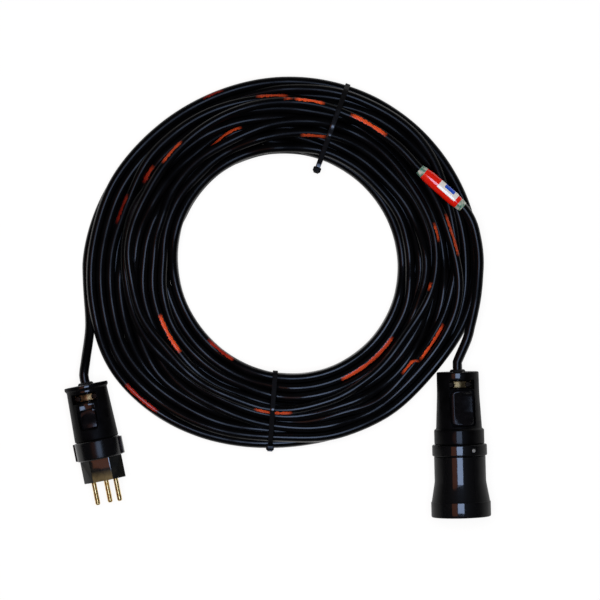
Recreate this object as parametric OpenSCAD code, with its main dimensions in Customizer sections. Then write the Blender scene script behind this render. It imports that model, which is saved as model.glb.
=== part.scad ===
// Mains extension cord: a long rubber cord wound into a flat round coil and held by two
// nylon ties, with a three-pin plug on one end and a round three-hole coupler on the other.
// Millimetres. The origin is the centre of the coil's eye on the surface that the cord lies
// on; +X points to the coupler's side, +Y away from the two connectors and +Z up.
// A connector is modelled with its cable entry at z = 0, its axis along +Z towards the
// mating face and its thumb plate up, at +Y, and is then laid down where it rests.

/* [Cord] */
// Diameter of the rubber jacket
cord_d = 8; // [7.6:0.1:8.2]
// Diameter of one insulated core
core_d = 2.7; // [2.2:0.1:2.8]
// Length of jacket inside each connector
jacket_in = 20; // [18:1:28]

/* [Coil] */
// Diameter of the open eye in the middle
eye_d = 184; // [176:1:190]
// How far the eye's centre lies towards the coupler's side
eye_shift = 4; // [0:0.1:5]
// How far the eye is drawn out towards the coupler's rear end
eye_skew = 1.8; // [0:0.1:2]
// Length of the coil across X, over its outer turns
coil_length = 333; // [331:1:344]
// Width of the coil across Y, over its outer turns
coil_width = 310; // [309:1:320]
// How far the outer turns lie towards the plug's side
outer_shift = 1.8; // [0:0.1:3]
// How far the outer turns lie towards the connectors
outer_drop = 1.2; // [0:0.1:2]
// How far the outline is drawn out at the plug and at the label
outer_skew = 3.6; // [0:0.1:4]
// How far the outline swells between the ties and the coupler
outer_swell = 2; // [0:0.1:2.4]
// How far the coupler's rear end presses the outer turns in
coupler_dent = 3.6; // [0:0.1:4]
// Turns in each full layer
layer_turns = 6; // [4:0.5:6]
// Turns in the open top layer
top_turns = 3.77; // [3:0.01:4.4]
// Gap between two layers
layer_gap = 0.5; // [0.5:0.1:1.5]

/* [Ties] */
// Width of a tie's strap
tie_w = 4.2; // [3:0.1:6]
// Thickness of a tie's strap
tie_t = 1.2; // [0.9:0.1:1.6]
// Gap between a tie and the turns in it
tie_gap = 0.3; // [0.3:0.05:0.6]
// Direction of the top tie, counter-clockwise from +X
top_tie_angle = 70; // [64:1:76]
// Direction of the bottom tie, counter-clockwise from +X
bottom_tie_angle = 266; // [258:1:274]
// Length of a tie's head along the strap
tie_head_l = 6.5; // [5:0.5:8]
// Width of a tie's head across the strap
tie_head_w = 6.6; // [5.4:0.2:8]
// How far a tie's head stands off the strap
tie_head_h = 4; // [3.5:0.5:6]
// Length of the closed strap between the top tie's loop and its head
tie_neck_l = 4; // [2:0.5:6]
// Length of the cut end that stands out of the head
tie_end_l = 2; // [1:0.5:4]

/* [Label] */
// Outer diameter of the wrapped label
label_d = 11.7; // [10:0.1:12]
// Thickness of the clear tape over each end of the label
tape_t = 0.3; // [0.2:0.05:0.5]
// Length of each tape band
tape_l = 7; // [4:0.5:10]

/* [Connectors] */
// Wall of the handles and sleeves
wall = 3; // [2.4:0.1:3.4]
// Running gap round a turning ring
ring_gap = 0.3; // [0.2:0.05:0.4]
// Chamfer on outer edges
chamfer = 1; // [0.4:0.1:1.4]
// Length of the solid rear end that holds the cord clamp
rear_l = 16; // [15:0.5:17]
// Width of the clamp's pocket
clamp_w = 21; // [20.6:0.2:22]
// Length of the clamp's pocket along the axis
clamp_l = 8; // [7:0.5:8.5]
// Thickness of the clamp's bridge
bridge_t = 2.2; // [1.6:0.1:3]
// Distance from the axis to each clamp screw
clamp_screw_x = 7.2; // [7:0.1:7.4]
// Diameter of a clamp screw
clamp_screw_d = 3; // [2.5:0.1:3]
// Diameter of a clamp screw's head
clamp_head_d = 5.6; // [4.8:0.1:5.8]
// Length of each grommet inside its handle
grommet_l = 3.2; // [2.5:0.1:3.8]
// Outer diameter of each grommet
grommet_d = 14.6; // [13:0.1:15.5]
// Distance from the middle to each live pin
pin_x = 9.5; // [9.4:0.05:9.6]
// Height of the live pins above the axis
live_y = 2; // [1.8:0.1:2.2]
// Depth of the earth pin below the axis
earth_y = 3; // [2.8:0.1:3.2]
// Diameter of a pin
pin_d = 4; // [3.9:0.05:4]
// Width of the six-sided nose, point to point
nose_w = 35.3; // [34:0.1:35.4]
// Height of the six-sided nose, flat to flat
nose_h = 14; // [13:0.1:14.2]
// Width of the nose's top and bottom flats
nose_flat = 20; // [18:0.5:22]
// Diameter of a terminal screw
terminal_screw_d = 2.6; // [2:0.1:2.6]
// Thickness of each seal
seal_t = 1; // [0.8:0.1:1.6]

/* [Plug] */
// Diameter of the plug's handle
plug_d = 33.3; // [32.8:0.1:34]
// Length of the plug's handle
plug_handle_l = 46.3; // [44:0.1:48]
// Diameter of the lip round the plug's rear end
plug_lip_d = 35.4; // [34.2:0.1:36]
// Length of that lip
plug_lip_l = 3; // [2:0.1:4]
// Diameter of the plug's turning ring
plug_ring_d = 38.6; // [38:0.1:40]
// Length of the collar that the ring fills
plug_collar_l = 16.3; // [15.5:0.1:18]
// How far the two thumb lugs stand off the ring
plug_lug_h = 1; // [0.5:0.1:1.5]
// Length of the six-sided nose
nose_l = 18.7; // [17:0.1:20]
// Length of a pin in front of the nose
pin_l = 19; // [18:0.1:20]
// Width of the plug's thumb recess
plug_window_w = 15; // [12:0.5:16]
// Length of the plug's thumb recess
plug_window_l = 16; // [12:0.5:18]

/* [Coupler] */
// Diameter of the coupler's handle
coupler_d = 35; // [34.4:0.1:36]
// Length of the coupler's handle
coupler_handle_l = 47; // [46:0.1:50]
// Diameter of the shoulder and of the sleeve
sleeve_d = 40.6; // [40.2:0.1:41.4]
// Length of the shoulder in front of the handle
shoulder_l = 13; // [10:0.1:14]
// How far the coupler's turning ring stands off the sleeve
coupler_ring_step = 2.5; // [2:0.1:3]
// Length of the space that the ring fills
coupler_ring_l = 10; // [9:0.1:12]
// Length of the sleeve's straight part
sleeve_l = 25; // [24:0.1:27]
// Length of the sleeve's flare
flare_l = 12.8; // [11:0.1:14]
// Diameter at the end of the flare
flare_d = 46; // [45:0.1:47]
// Diameter of the front collar
collar_d = 49; // [48:0.1:50]
// Length of the front collar
collar_l = 12.7; // [11.5:0.1:14]
// Depth of the six-sided socket
socket_depth = 12; // [10:0.1:13]
// Gap round a nose in the six-sided socket
socket_gap = 0.15; // [0.1:0.05:0.25]
// Radial gap round a pin in its contact
contact_gap = 0.05; // [0.05:0.01:0.1]
// Width of the coupler's thumb recess
coupler_window_w = 21; // [18:0.5:22]
// Length of the coupler's thumb recess
coupler_window_l = 31; // [24:0.5:32]

/* [Hidden] */

$fn = 64;
eps = 0.01;
fit = 0.1;           // clearance of a part in its seat
cord_r = cord_d / 2;

// Coil: one steady spiral that winds in and out again, layer on layer.
ring_steps = 24;     // rings in one turn
coil_sides = 6;
start_angle = 180;
turn_h = cord_r * sin(60);              // half height of the six-sided section
layer_rise = 2 * turn_h + layer_gap;
layer_span = layer_turns + 0.5;         // a full layer and the half turn that climbs
coil_turns = 3 * layer_span + top_turns;
end_raise = cord_r - turn_h + 0.05;     // keeps the round tails off the floor and the layer below
tie_raise = tie_t + tie_gap;            // the turns rise over the strap below them
mean_outer_r = (coil_length + coil_width) / 4;
outer_swing = (coil_length - coil_width) / 4;
dent_angle = 325;                       // where the coupler's rear end meets the coil
dent_reach = 22;                        // degrees to each side of it

// Where each connector lies: its rear centre, and how it is turned and rolled.
plug_at = [-164.4, -101.4];
plug_yaw = 11.5;
plug_roll = 10;
plug_axis_h = plug_ring_d / 2 + 0.2;
coupler_at = [145.25, -90.5];
coupler_yaw = 1.5;
coupler_roll = -10;
coupler_axis_h = collar_d / 2;

// Stations along the plug.
plug_ring_front = plug_handle_l + plug_collar_l;
plug_face_z = plug_ring_front + nose_l;
plug_flange_t = 2.6;
plug_flange_z = plug_ring_front - plug_flange_t;
plug_spigot_step = 1.15;                // from the handle's side in to the spigot's
plug_spigot_d = plug_d - 2 * plug_spigot_step;
plug_spigot_l = 5.2;
plug_spigot_wall = 2.5;
plug_seal_z = plug_handle_l + plug_spigot_l;
plug_base_z = plug_seal_z + seal_t;
plug_flange_cover = 1.9;                // wall of the ring round the flange
plug_flange_d = plug_ring_d - 2 * plug_flange_cover;
plug_barrel_z = plug_base_z - 10.5;     // rear end of the pins' terminal barrels
plug_shank_z = plug_base_z + 2;         // the barrels seat this deep in the carrier
plug_window_z = 21;
plug_lug_l = 12;
lug_w = 5;

// Stations along the coupler.
ring_back = coupler_handle_l + shoulder_l;
sleeve_back = ring_back + coupler_ring_l;
coupler_seal_z = (ring_back + sleeve_back - seal_t) / 2;
coupler_spigot_step = 1.7;              // from the sleeve's side in to the spigot's
coupler_spigot_d = sleeve_d - 2 * coupler_spigot_step;
coupler_ring_d = sleeve_d + 2 * coupler_ring_step;
coupler_bore_step = 1.5;                // from the handle's side in to the front bore's
coupler_bore_d = coupler_d - 2 * coupler_bore_step;
flare_z = sleeve_back + sleeve_l;
collar_z = flare_z + flare_l;
coupler_face_z = collar_z + collar_l;
insert_recess = 0.8;                    // the insert lies this far inside the collar
insert_front = coupler_face_z - insert_recess;
socket_floor_z = insert_front - socket_depth;
insert_floor_t = 2.5;
insert_flange_z = socket_floor_z - insert_floor_t;
insert_hub_l = 7;
insert_hub_z = insert_flange_z - insert_hub_l;
collar_wall = 3.9;
insert_flange_d = collar_d - 2 * collar_wall;
hub_wall = 3.3;                         // wall of the sleeve round the insert's hub
hub_d = sleeve_d - 2 * hub_wall;
block_l = 12;
contact_bore_l = 19.3;
contact_r = 3.2;
contact_back = insert_flange_z - contact_bore_l - 8.3;
block_z = insert_hub_z - block_l;
block_blind = 3;                        // the screw holes stop this far from its back
spring_r = 0.4;
coupler_window_z = 14.2;
insert_screw_y = 13;
insert_screw_d = 3;
insert_head_d = 5.6;
insert_head_h = 2;
insert_head_z = insert_front - 3;       // the heads' seats

// Shared by both handles.
clamp_z = 5;
clamp_seat = 3;                          // the pocket's floor, measured from the axis
bridge_y = cord_r + 0.2;
clamp_screw_in = 6;                      // how far the clamp screws reach past the axis
slot_w = 0.8;
slot_depth = 1;
window_floor = 11;
window_floor_t = 2;
terminal_r = 3;
hole_gap = 0.05;

// Route of the free cord between the plug and the coil, after its straight way out.
plug_tail_route = [
    [-165, -84, 17.5], [-163.6, -72, 13.5], [-162, -60, 9.5], [-161.8, -48, 6.8],
    [-162.6, -36, 5.2], [-163.5, -24, 4.4]
];
// Route of the free cord from the coil over the top layer, under the label and down
// to the coupler.
coupler_tail_route = [
    [46, 126.3, 27.8], [64, 118.5, 27.8], [82, 107.5, 27.8], [98, 95, 28]
];
label_from = [113.7, 77.8, 28.4];
label_to = [149.5, 46.4, 28.4];
shoulder_route = [
    [157, 34.5, 28], [161, 20, 27.4], [163, 4, 27], [162.4, -13, 26.8],
    [160.8, -29, 26.6], [157.7, -45, 26.2], [154, -60, 25.6], [150.6, -73, 25]
];

// ---- Functions ----

function unit(v) = v / norm(v);
function along(path, i) = unit(path[min(i + 1, len(path) - 1)] - path[max(i - 1, 0)]);

// One ring of a tube: points round c, square to the direction t. A tube that lies down
// keeps its section level, and one that stands keeps it square to Y.
function ring(c, t, r, sides) =
    let (side = unit(cross(t, abs(t.z) > 0.6 ? [0, 1, 0] : [0, 0, 1])), up = cross(side, t))
    [for (k = [0:sides - 1])
        c + r * (cos(360 * k / sides) * side + sin(360 * k / sides) * up)];

// How far two directions lie apart, in degrees.
function apart(a, b) = abs(((a - b) % 360 + 540) % 360 - 180);

// The rise of all layers over a tie's strap: full near it, and gone 40 degrees away.
function rise(a) =
    let (near = min(apart(a, top_tie_angle), apart(a, bottom_tie_angle)))
    tie_raise * max(0, min(1, (40 - near) / 22));

// The dent beside the coupler's rear end: full in its middle, and gone at its reach.
function dent(a) =
    let (u = min(1, apart(a, dent_angle) / dent_reach)) coupler_dent * pow(1 - u * u, 2);

function inner_lane(a) =
    eye_d / 2 + cord_r + eye_shift * cos(a) - eye_skew * sin(2 * a);
function outer_lane(a) =
    mean_outer_r + outer_swing * cos(2 * a) + outer_skew * sin(2 * a)
    - outer_shift * cos(a) - outer_drop * sin(a) - outer_swell * sin(3 * a)
    - dent(a) - cord_r;

// How far out the spiral is after t turns, from 0 at the inner lane to 1 at the outer one.
function lane(t) =
    let (layer = floor(t / layer_span), s = t - layer * layer_span,
         q = max(0, s - layer_turns), bulge = (q - 2 * q * q) / layer_turns,
         inward = s <= layer_turns ? 1 - s / layer_turns : -bulge)
    layer % 2 == 0 ? inward : 1 - inward;

// The height of the centreline after t turns, in layers.
function layers_up(t) =
    let (layer = floor(t / layer_span), s = t - layer * layer_span)
    layer + max(0, s - layer_turns) * 2;

function coil_point(t) =
    let (a = start_angle - 360 * t, r_in = inner_lane(a),
         r = r_in + lane(t) * (outer_lane(a) - r_in))
    [r * cos(a), r * sin(a),
     turn_h + layers_up(t) * layer_rise + rise(a)
     + end_raise * max(0, 1 - 12 * min(t, coil_turns - t))];

coil_ring_count = floor(coil_turns * ring_steps);
wound = [
    for (i = [0:coil_ring_count]) coil_point(i / ring_steps),
    coil_point(coil_turns)
];
coil_start = wound[0] - cord_d * unit(wound[1] - wound[0]);
last = len(wound) - 1;
coil_end = wound[last] + cord_d * unit(wound[last] - wound[last - 1]);
coil_path = [coil_start, each wound, coil_end];

// Least gap between two turns of the coil. Turns are compared where they pass the same
// direction, with the section's own three pairs of flats.
function flat_gap(p, q) =
    let (dr = norm([p.x, p.y]) - norm([q.x, q.y]), dz = p.z - q.z)
    max(abs(dz), abs(dr * sin(60) + dz / 2), abs(dr * sin(60) - dz / 2)) - 2 * turn_h;
least_gap = min([
    for (i = [0:coil_ring_count], j = [i + ring_steps:ring_steps:coil_ring_count])
        flat_gap(wound[i], wound[j])
]);
function path_length(p, i = 1) =
    i >= len(p) ? 0 : norm(p[i] - p[i - 1]) + path_length(p, i + 1);

// A point on a connector's axis, z behind its mating end.
function plug_axis(z) =
    [plug_at.x + z * sin(plug_yaw), plug_at.y - z * cos(plug_yaw), plug_axis_h];
function coupler_axis(z) =
    [coupler_at.x + z * sin(coupler_yaw), coupler_at.y - z * cos(coupler_yaw),
     coupler_axis_h];

plug_tail_path = [
    plug_axis(jacket_in), plug_axis(0), plug_axis(-cord_d), each plug_tail_route,
    coil_start - 0.8 * cord_d * unit(wound[1] - wound[0]), coil_start
];
coupler_tail_path = [
    coil_end, coil_end + 0.8 * cord_d * unit(wound[last] - wound[last - 1]),
    each coupler_tail_route, label_from, label_to, each shoulder_route,
    coupler_axis(-cord_d), coupler_axis(0), coupler_axis(jacket_in)
];
echo(str("least gap of the coil to itself, in mm: ", least_gap));
echo(str("length of cord, in mm: ",
         path_length(coil_path) + path_length(plug_tail_path)
         + path_length(coupler_tail_path)));

// ---- Shared shapes ----

// A closed tube along a path.
module tube(path, r, sides) {
    rings = len(path);
    points = [for (i = [0:rings - 1]) each ring(path[i], along(path, i), r, sides)];
    skin = [
        for (i = [0:rings - 2], k = [0:sides - 1])
            let (a = i * sides + k, b = i * sides + (k + 1) % sides)
            each [[a, b, b + sides], [a, b + sides, a + sides]]
    ];
    back = [for (k = [1:sides - 2]) [0, k + 1, k]];
    first = (rings - 1) * sides;
    front = [for (k = [1:sides - 2]) [first, first + k, first + k + 1]];
    polyhedron(points, [each skin, each back, each front]);
}

// A rectangle with round corners, centred, w along x and h along y.
module round_rect(w, h, r) {
    square([w - 2 * r, h], center = true);
    square([w, h - 2 * r], center = true);
    for (x = [-1, 1], y = [-1, 1])
        translate([x * (w / 2 - r), y * (h / 2 - r)]) circle(r);
}

// Stands a flat shape, drawn in x and z, up from height y.
module raise_from(y, h) translate([0, y, 0]) rotate([-90, 0, 0]) linear_extrude(h) children();

// A round hole or bar along +Y, from y to y + h.
module post(x, y, z, r, h) translate([x, y, z]) rotate([-90, 0, 0]) cylinder(r = r, h = h);

// The six-sided outline of the nose, grown by a gap.
module six_sided(gap) {
    w = nose_w / 2 + gap;
    h = nose_h / 2 + gap;
    f = nose_flat / 2 + gap / 2;
    polygon([[-w, 0], [-f, h], [f, h], [w, 0], [f, -h], [-f, -h]]);
}

// The three pin places, drawn with child 0 for each.
module at_pins() {
    for (p = [[-pin_x, live_y], [pin_x, live_y], [0, -earth_y]])
        translate([p.x, p.y, 0]) children();
}

module on_plug()
    translate([plug_at.x, plug_at.y, plug_axis_h])
        rotate([0, 0, plug_yaw]) rotate([90, 0, 0]) rotate([0, 0, plug_roll]) children();

module on_coupler()
    translate([coupler_at.x, coupler_at.y, coupler_axis_h])
        rotate([0, 0, coupler_yaw]) rotate([90, 0, 0]) rotate([0, 0, coupler_roll])
            children();

// ---- Handles ----

// The space behind the handle's front end, under the thumb recess.
module handle_cavity(d, l) {
    r = d / 2 - wall;
    intersection() {
        translate([0, 0, rear_l]) cylinder(r = r, h = l - rear_l + eps);
        translate([-r, -r, rear_l]) cube([2 * r, r + window_floor - window_floor_t, l]);
    }
}

// The cord's way in, the grommet's seat and the clamp's pocket with its screw holes.
module rear_openings() {
    translate([0, 0, -eps]) cylinder(r = cord_r + 0.4, h = rear_l + 2 * eps);
    translate([0, 0, -eps]) cylinder(r = grommet_d / 2 + fit, h = grommet_l + eps);
    translate([0, 0, clamp_z + clamp_l / 2])
        raise_from(clamp_seat, sleeve_d) round_rect(clamp_w, clamp_l, 1);
    for (x = [-1, 1])
        post(x * clamp_screw_x, -clamp_screw_in - 0.2, clamp_z + clamp_l / 2,
             clamp_screw_d / 2 + hole_gap, 2 * clamp_screw_in);
}

module window(w, l, z)
    translate([0, 0, z + l / 2]) raise_from(window_floor, sleeve_d) round_rect(w, l, 3);

module grommet() {
    bore = cord_r + 0.15;
    r = grommet_d / 2;
    rotate_extrude() polygon([
        [bore, -2], [r - 1.8, -2], [r - 0.8, -0.8], [r - 0.8, 0], [r, 0], [r, grommet_l],
        [bore, grommet_l]
    ]);
}

module clamp_bridge() {
    difference() {
        translate([0, 0, clamp_z + clamp_l / 2])
            raise_from(bridge_y, bridge_t) round_rect(clamp_w - 1, clamp_l - 2, 1);
        for (x = [-1, 1])
            post(x * clamp_screw_x, 0, clamp_z + clamp_l / 2, clamp_screw_d / 2 + fit, 20);
    }
}

module clamp_screws() {
    head_y = bridge_y + bridge_t;
    head_h = 1.9;
    middle = clamp_z + clamp_l / 2;
    for (x = [-1, 1]) difference() {
        union() {
            post(x * clamp_screw_x, -clamp_screw_in, middle, clamp_screw_d / 2,
                 head_y + clamp_screw_in);
            post(x * clamp_screw_x, head_y, middle, clamp_head_d / 2, head_h);
        }
        translate([x * clamp_screw_x - clamp_head_d, head_y + head_h - slot_depth,
                   middle - slot_w / 2])
            cube([2 * clamp_head_d, 2 * slot_depth, slot_w]);
    }
}

// A crowned plate in the thumb recess, bare on its face.
module thumb_plate(w, l, z, top) {
    crown_r = 24;
    intersection() {
        translate([0, 0, z + l / 2])
            raise_from(window_floor, 8) round_rect(w - 1.6, l - 1.6, 2.4);
        translate([0, top - crown_r, z]) cylinder(r = crown_r, h = l);
    }
}

// A terminal screw that bears on a core from above.
module terminal_screw(y, z) post(0, y + 0.6, z, terminal_screw_d / 2, terminal_r + 1.2);

// One insulated core from the jacket's end to a terminal at [x, y], whose rear is at z.
module core(angle, x, y, z) {
    near = core_d * 0.62;
    start = [near * cos(angle), near * sin(angle)];
    tube([
        [start.x, start.y, jacket_in + 0.2], [start.x, start.y, jacket_in + 4],
        [(start.x + x) / 2, (start.y + y) / 2, (jacket_in + z) / 2],
        [x, y, z - 4], [x, y, z - 0.2]
    ], core_d / 2, 8);
}

// ---- Plug ----

module plug_handle_shell() {
    r = plug_d / 2;
    lip = plug_lip_d / 2;
    spigot = plug_spigot_d / 2;
    color([0.07, 0.07, 0.08]) on_plug() difference() {
        rotate_extrude() polygon([
            [0, 0], [lip - chamfer, 0], [lip, chamfer], [lip, plug_lip_l],
            [r, plug_lip_l + lip - r], [r, plug_handle_l - chamfer],
            [r - chamfer, plug_handle_l], [spigot, plug_handle_l], [spigot, plug_seal_z],
            [0, plug_seal_z]
        ]);
        handle_cavity(plug_d, plug_handle_l);
        translate([0, 0, plug_handle_l])
            cylinder(r = spigot - plug_spigot_wall, h = plug_spigot_l + eps);
        rear_openings();
        window(plug_window_w, plug_window_l, plug_window_z);
    }
}

module plug_grommet() color([0.12, 0.12, 0.13]) on_plug() grommet();
module plug_clamp_bridge() color([0.78, 0.72, 0.55]) on_plug() clamp_bridge();
module plug_clamp_screws() color([0.80, 0.76, 0.62]) on_plug() clamp_screws();
module plug_thumb_plate()
    color([0.10, 0.10, 0.12]) on_plug()
        thumb_plate(plug_window_w, plug_window_l, plug_window_z, plug_d / 2 - 2.2);

module plug_union_ring() {
    r = plug_ring_d / 2;
    bore = plug_spigot_d / 2 + ring_gap;
    seat = plug_flange_d / 2 + ring_gap;
    back = plug_handle_l + ring_gap;
    front = plug_ring_front - ring_gap;
    step = plug_flange_z - ring_gap;
    color([0.09, 0.09, 0.10]) on_plug() {
        rotate_extrude() polygon([
            [bore, back], [r - chamfer, back], [r, back + chamfer], [r, front - chamfer],
            [r - chamfer, front], [seat, front], [seat, step], [bore, step]
        ]);
        for (side = [0, 180]) rotate([0, 0, side])
            translate([r - 0.5, -lug_w / 2, (back + front - plug_lug_l) / 2])
                cube([plug_lug_h + 0.5, lug_w, plug_lug_l]);
    }
}

module plug_seal()
    color([0.35, 0.10, 0.08]) on_plug() translate([0, 0, plug_seal_z]) difference() {
        cylinder(d = plug_spigot_d - 0.6, h = seal_t);
        translate([0, 0, -1])
            cylinder(d = plug_spigot_d - 2 * plug_spigot_wall + 0.4, h = seal_t + 2);
    }

module plug_pin_carrier() {
    color([0.08, 0.08, 0.09]) on_plug() difference() {
        union() {
            translate([0, 0, plug_base_z])
                cylinder(d = plug_spigot_d, h = plug_flange_z - plug_base_z);
            translate([0, 0, plug_flange_z]) cylinder(d = plug_flange_d, h = plug_flange_t);
            translate([0, 0, plug_ring_front]) linear_extrude(nose_l) six_sided(0);
        }
        at_pins() {
            translate([0, 0, plug_base_z - 1])
                cylinder(r = terminal_r + hole_gap, h = plug_shank_z - plug_base_z + 1);
            translate([0, 0, plug_base_z])
                cylinder(r = pin_d / 2 + 0.4 + hole_gap, h = plug_face_z);
        }
    }
}

// A pin with its terminal barrel; the end that shows is rounded.
module plug_pin(x, y) {
    tip = 1.2;
    color([0.80, 0.66, 0.38]) on_plug() translate([x, y, 0]) difference() {
        rotate_extrude() polygon([
            [0, plug_barrel_z], [terminal_r, plug_barrel_z], [terminal_r, plug_shank_z],
            [pin_d / 2 + 0.4, plug_shank_z], [pin_d / 2 + 0.4, plug_face_z],
            [pin_d / 2, plug_face_z], [pin_d / 2, plug_face_z + pin_l - tip],
            [pin_d / 2 - 0.35, plug_face_z + pin_l - 0.4],
            [pin_d / 2 - 0.9, plug_face_z + pin_l], [0, plug_face_z + pin_l]
        ]);
        translate([0, 0, plug_barrel_z - 1]) cylinder(r = core_d / 2 + 0.1, h = 8);
        post(0, 0, plug_barrel_z + 3.5, terminal_screw_d / 2 + hole_gap, 10);
    }
}

module plug_pin_line() plug_pin(-pin_x, live_y);
module plug_pin_neutral() plug_pin(pin_x, live_y);
module plug_pin_earth() plug_pin(0, -earth_y);
module plug_terminal_screws()
    color([0.75, 0.72, 0.60]) on_plug() at_pins() terminal_screw(0, plug_barrel_z + 3.5);

module plug_core_line()
    color([0.45, 0.25, 0.12]) on_plug() core(150, -pin_x, live_y, plug_barrel_z);
module plug_core_neutral()
    color([0.15, 0.30, 0.70]) on_plug() core(30, pin_x, live_y, plug_barrel_z);
module plug_core_earth()
    color([0.55, 0.70, 0.15]) on_plug() core(270, 0, -earth_y, plug_barrel_z);

// ---- Coupler ----

module coupler_handle_shell() {
    r = coupler_d / 2;
    step = sleeve_d / 2;
    spigot = coupler_spigot_d / 2;
    color([0.07, 0.07, 0.08]) on_coupler() difference() {
        rotate_extrude() polygon([
            [0, 0], [r - chamfer, 0], [r, chamfer], [r, coupler_handle_l],
            [step, coupler_handle_l + chamfer], [step, ring_back], [spigot, ring_back],
            [spigot, coupler_seal_z], [0, coupler_seal_z]
        ]);
        handle_cavity(coupler_d, coupler_handle_l);
        translate([0, 0, coupler_handle_l]) cylinder(d = coupler_bore_d, h = coupler_seal_z);
        rear_openings();
        window(coupler_window_w, coupler_window_l, coupler_window_z);
    }
}

module coupler_grommet() color([0.12, 0.12, 0.13]) on_coupler() grommet();
module coupler_clamp_bridge() color([0.78, 0.72, 0.55]) on_coupler() clamp_bridge();
module coupler_clamp_screws() color([0.80, 0.76, 0.62]) on_coupler() clamp_screws();
module coupler_thumb_plate()
    color([0.10, 0.10, 0.12]) on_coupler()
        thumb_plate(coupler_window_w, coupler_window_l, coupler_window_z,
                    coupler_d / 2 - 2.6);

module coupler_union_ring() {
    r = coupler_ring_d / 2;
    bore = coupler_spigot_d / 2 + ring_gap;
    back = ring_back + ring_gap;
    front = sleeve_back - ring_gap;
    dot_angle = 72;
    color([0.09, 0.09, 0.10]) on_coupler() {
        rotate_extrude() polygon([
            [bore, back], [r - chamfer, back], [r, back + chamfer], [r, front - chamfer],
            [r - chamfer, front], [bore, front]
        ]);
        rotate([0, 0, dot_angle]) translate([r - 0.5, 0, (back + front) / 2])
            rotate([0, 90, 0]) cylinder(r = 1.6, h = 1.1);
    }
}

module coupler_seal()
    color([0.35, 0.10, 0.08]) on_coupler() translate([0, 0, coupler_seal_z]) difference() {
        cylinder(d = coupler_spigot_d - 0.6, h = seal_t);
        translate([0, 0, -1]) cylinder(d = coupler_bore_d + 0.4, h = seal_t + 2);
    }

module coupler_sleeve() {
    step = sleeve_d / 2;
    spigot = coupler_spigot_d / 2;
    collar = collar_d / 2;
    color([0.08, 0.08, 0.09]) on_coupler() difference() {
        rotate_extrude() polygon([
            [0, coupler_seal_z + seal_t], [spigot, coupler_seal_z + seal_t],
            [spigot, sleeve_back], [step, sleeve_back], [step, flare_z],
            [flare_d / 2, collar_z], [collar - chamfer, collar_z],
            [collar, collar_z + chamfer], [collar, coupler_face_z - chamfer],
            [collar - chamfer, coupler_face_z], [0, coupler_face_z]
        ]);
        translate([0, 0, coupler_seal_z]) cylinder(d = coupler_bore_d, h = coupler_face_z);
        translate([0, 0, sleeve_back])
            cylinder(d = hub_d + 2 * fit, h = coupler_face_z - sleeve_back + eps);
        translate([0, 0, insert_flange_z])
            cylinder(d = insert_flange_d + 2 * fit, h = coupler_face_z);
    }
}

module coupler_face_insert() {
    color([0.10, 0.10, 0.11]) on_coupler() difference() {
        union() {
            translate([0, 0, insert_flange_z])
                cylinder(d = insert_flange_d, h = insert_front - insert_flange_z);
            translate([0, 0, insert_hub_z]) cylinder(d = hub_d, h = insert_hub_l);
        }
        translate([0, 0, socket_floor_z])
            linear_extrude(socket_depth + 1) six_sided(socket_gap);
        at_pins() {
            translate([0, 0, insert_hub_z - 1])
                cylinder(r = contact_r + 1.1, h = insert_hub_l + 1);
            translate([0, 0, insert_hub_z])
                cylinder(r = pin_d / 2 + 0.4, h = socket_depth);
        }
        for (y = [-1, 1]) translate([0, y * insert_screw_y, 0]) {
            translate([0, 0, insert_hub_z - eps])
                cylinder(r = insert_screw_d / 2 + fit, h = insert_front - insert_hub_z);
            translate([0, 0, insert_head_z])
                cylinder(r = insert_head_d / 2 + 2 * fit, h = insert_head_h + insert_recess + 1);
        }
    }
}

module coupler_contact_block() {
    color([0.60, 0.56, 0.48]) on_coupler() difference() {
        translate([0, 0, block_z]) cylinder(d = hub_d, h = block_l);
        at_pins() translate([0, 0, block_z - 1])
            cylinder(r = contact_r + fit, h = block_l + 2);
        for (y = [-1, 1]) translate([0, y * insert_screw_y, block_z + block_blind])
            cylinder(r = insert_screw_d / 2 + hole_gap, h = block_l);
    }
}

// A contact: a sleeve for the pin in front and a terminal barrel behind.
module coupler_contact(x, y) {
    front = insert_flange_z;
    color([0.80, 0.66, 0.38]) on_coupler() translate([x, y, 0]) difference() {
        translate([0, 0, contact_back]) cylinder(r = contact_r, h = front - contact_back);
        translate([0, 0, front - contact_bore_l])
            cylinder(r = pin_d / 2 + contact_gap, h = contact_bore_l + 1);
        translate([0, 0, contact_back - 1]) cylinder(r = core_d / 2 + 0.1, h = 7);
        post(0, 0, contact_back + 3, terminal_screw_d / 2 + hole_gap, 10);
    }
}

module coupler_contact_line() coupler_contact(-pin_x, live_y);
module coupler_contact_neutral() coupler_contact(pin_x, live_y);
module coupler_contact_earth() coupler_contact(0, -earth_y);

module coupler_contact_springs()
    color([0.70, 0.70, 0.72]) on_coupler() at_pins()
        translate([0, 0, (insert_hub_z + insert_flange_z) / 2])
            rotate_extrude() translate([contact_r + spring_r + 0.05, 0]) circle(spring_r);

module coupler_terminal_screws()
    color([0.75, 0.72, 0.60]) on_coupler() at_pins() terminal_screw(0, contact_back + 3);

module coupler_insert_screws() {
    screw_z = block_z + block_blind + 1;
    color([0.75, 0.72, 0.60]) on_coupler() for (y = [-1, 1])
        translate([0, y * insert_screw_y, 0]) difference() {
            union() {
                translate([0, 0, screw_z])
                    cylinder(d = insert_screw_d, h = insert_head_z - screw_z);
                translate([0, 0, insert_head_z]) cylinder(d = insert_head_d, h = insert_head_h);
            }
            translate([-insert_head_d, -slot_w / 2, insert_head_z + insert_head_h - slot_depth])
                cube([2 * insert_head_d, slot_w, 2 * slot_depth]);
        }
}

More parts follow.
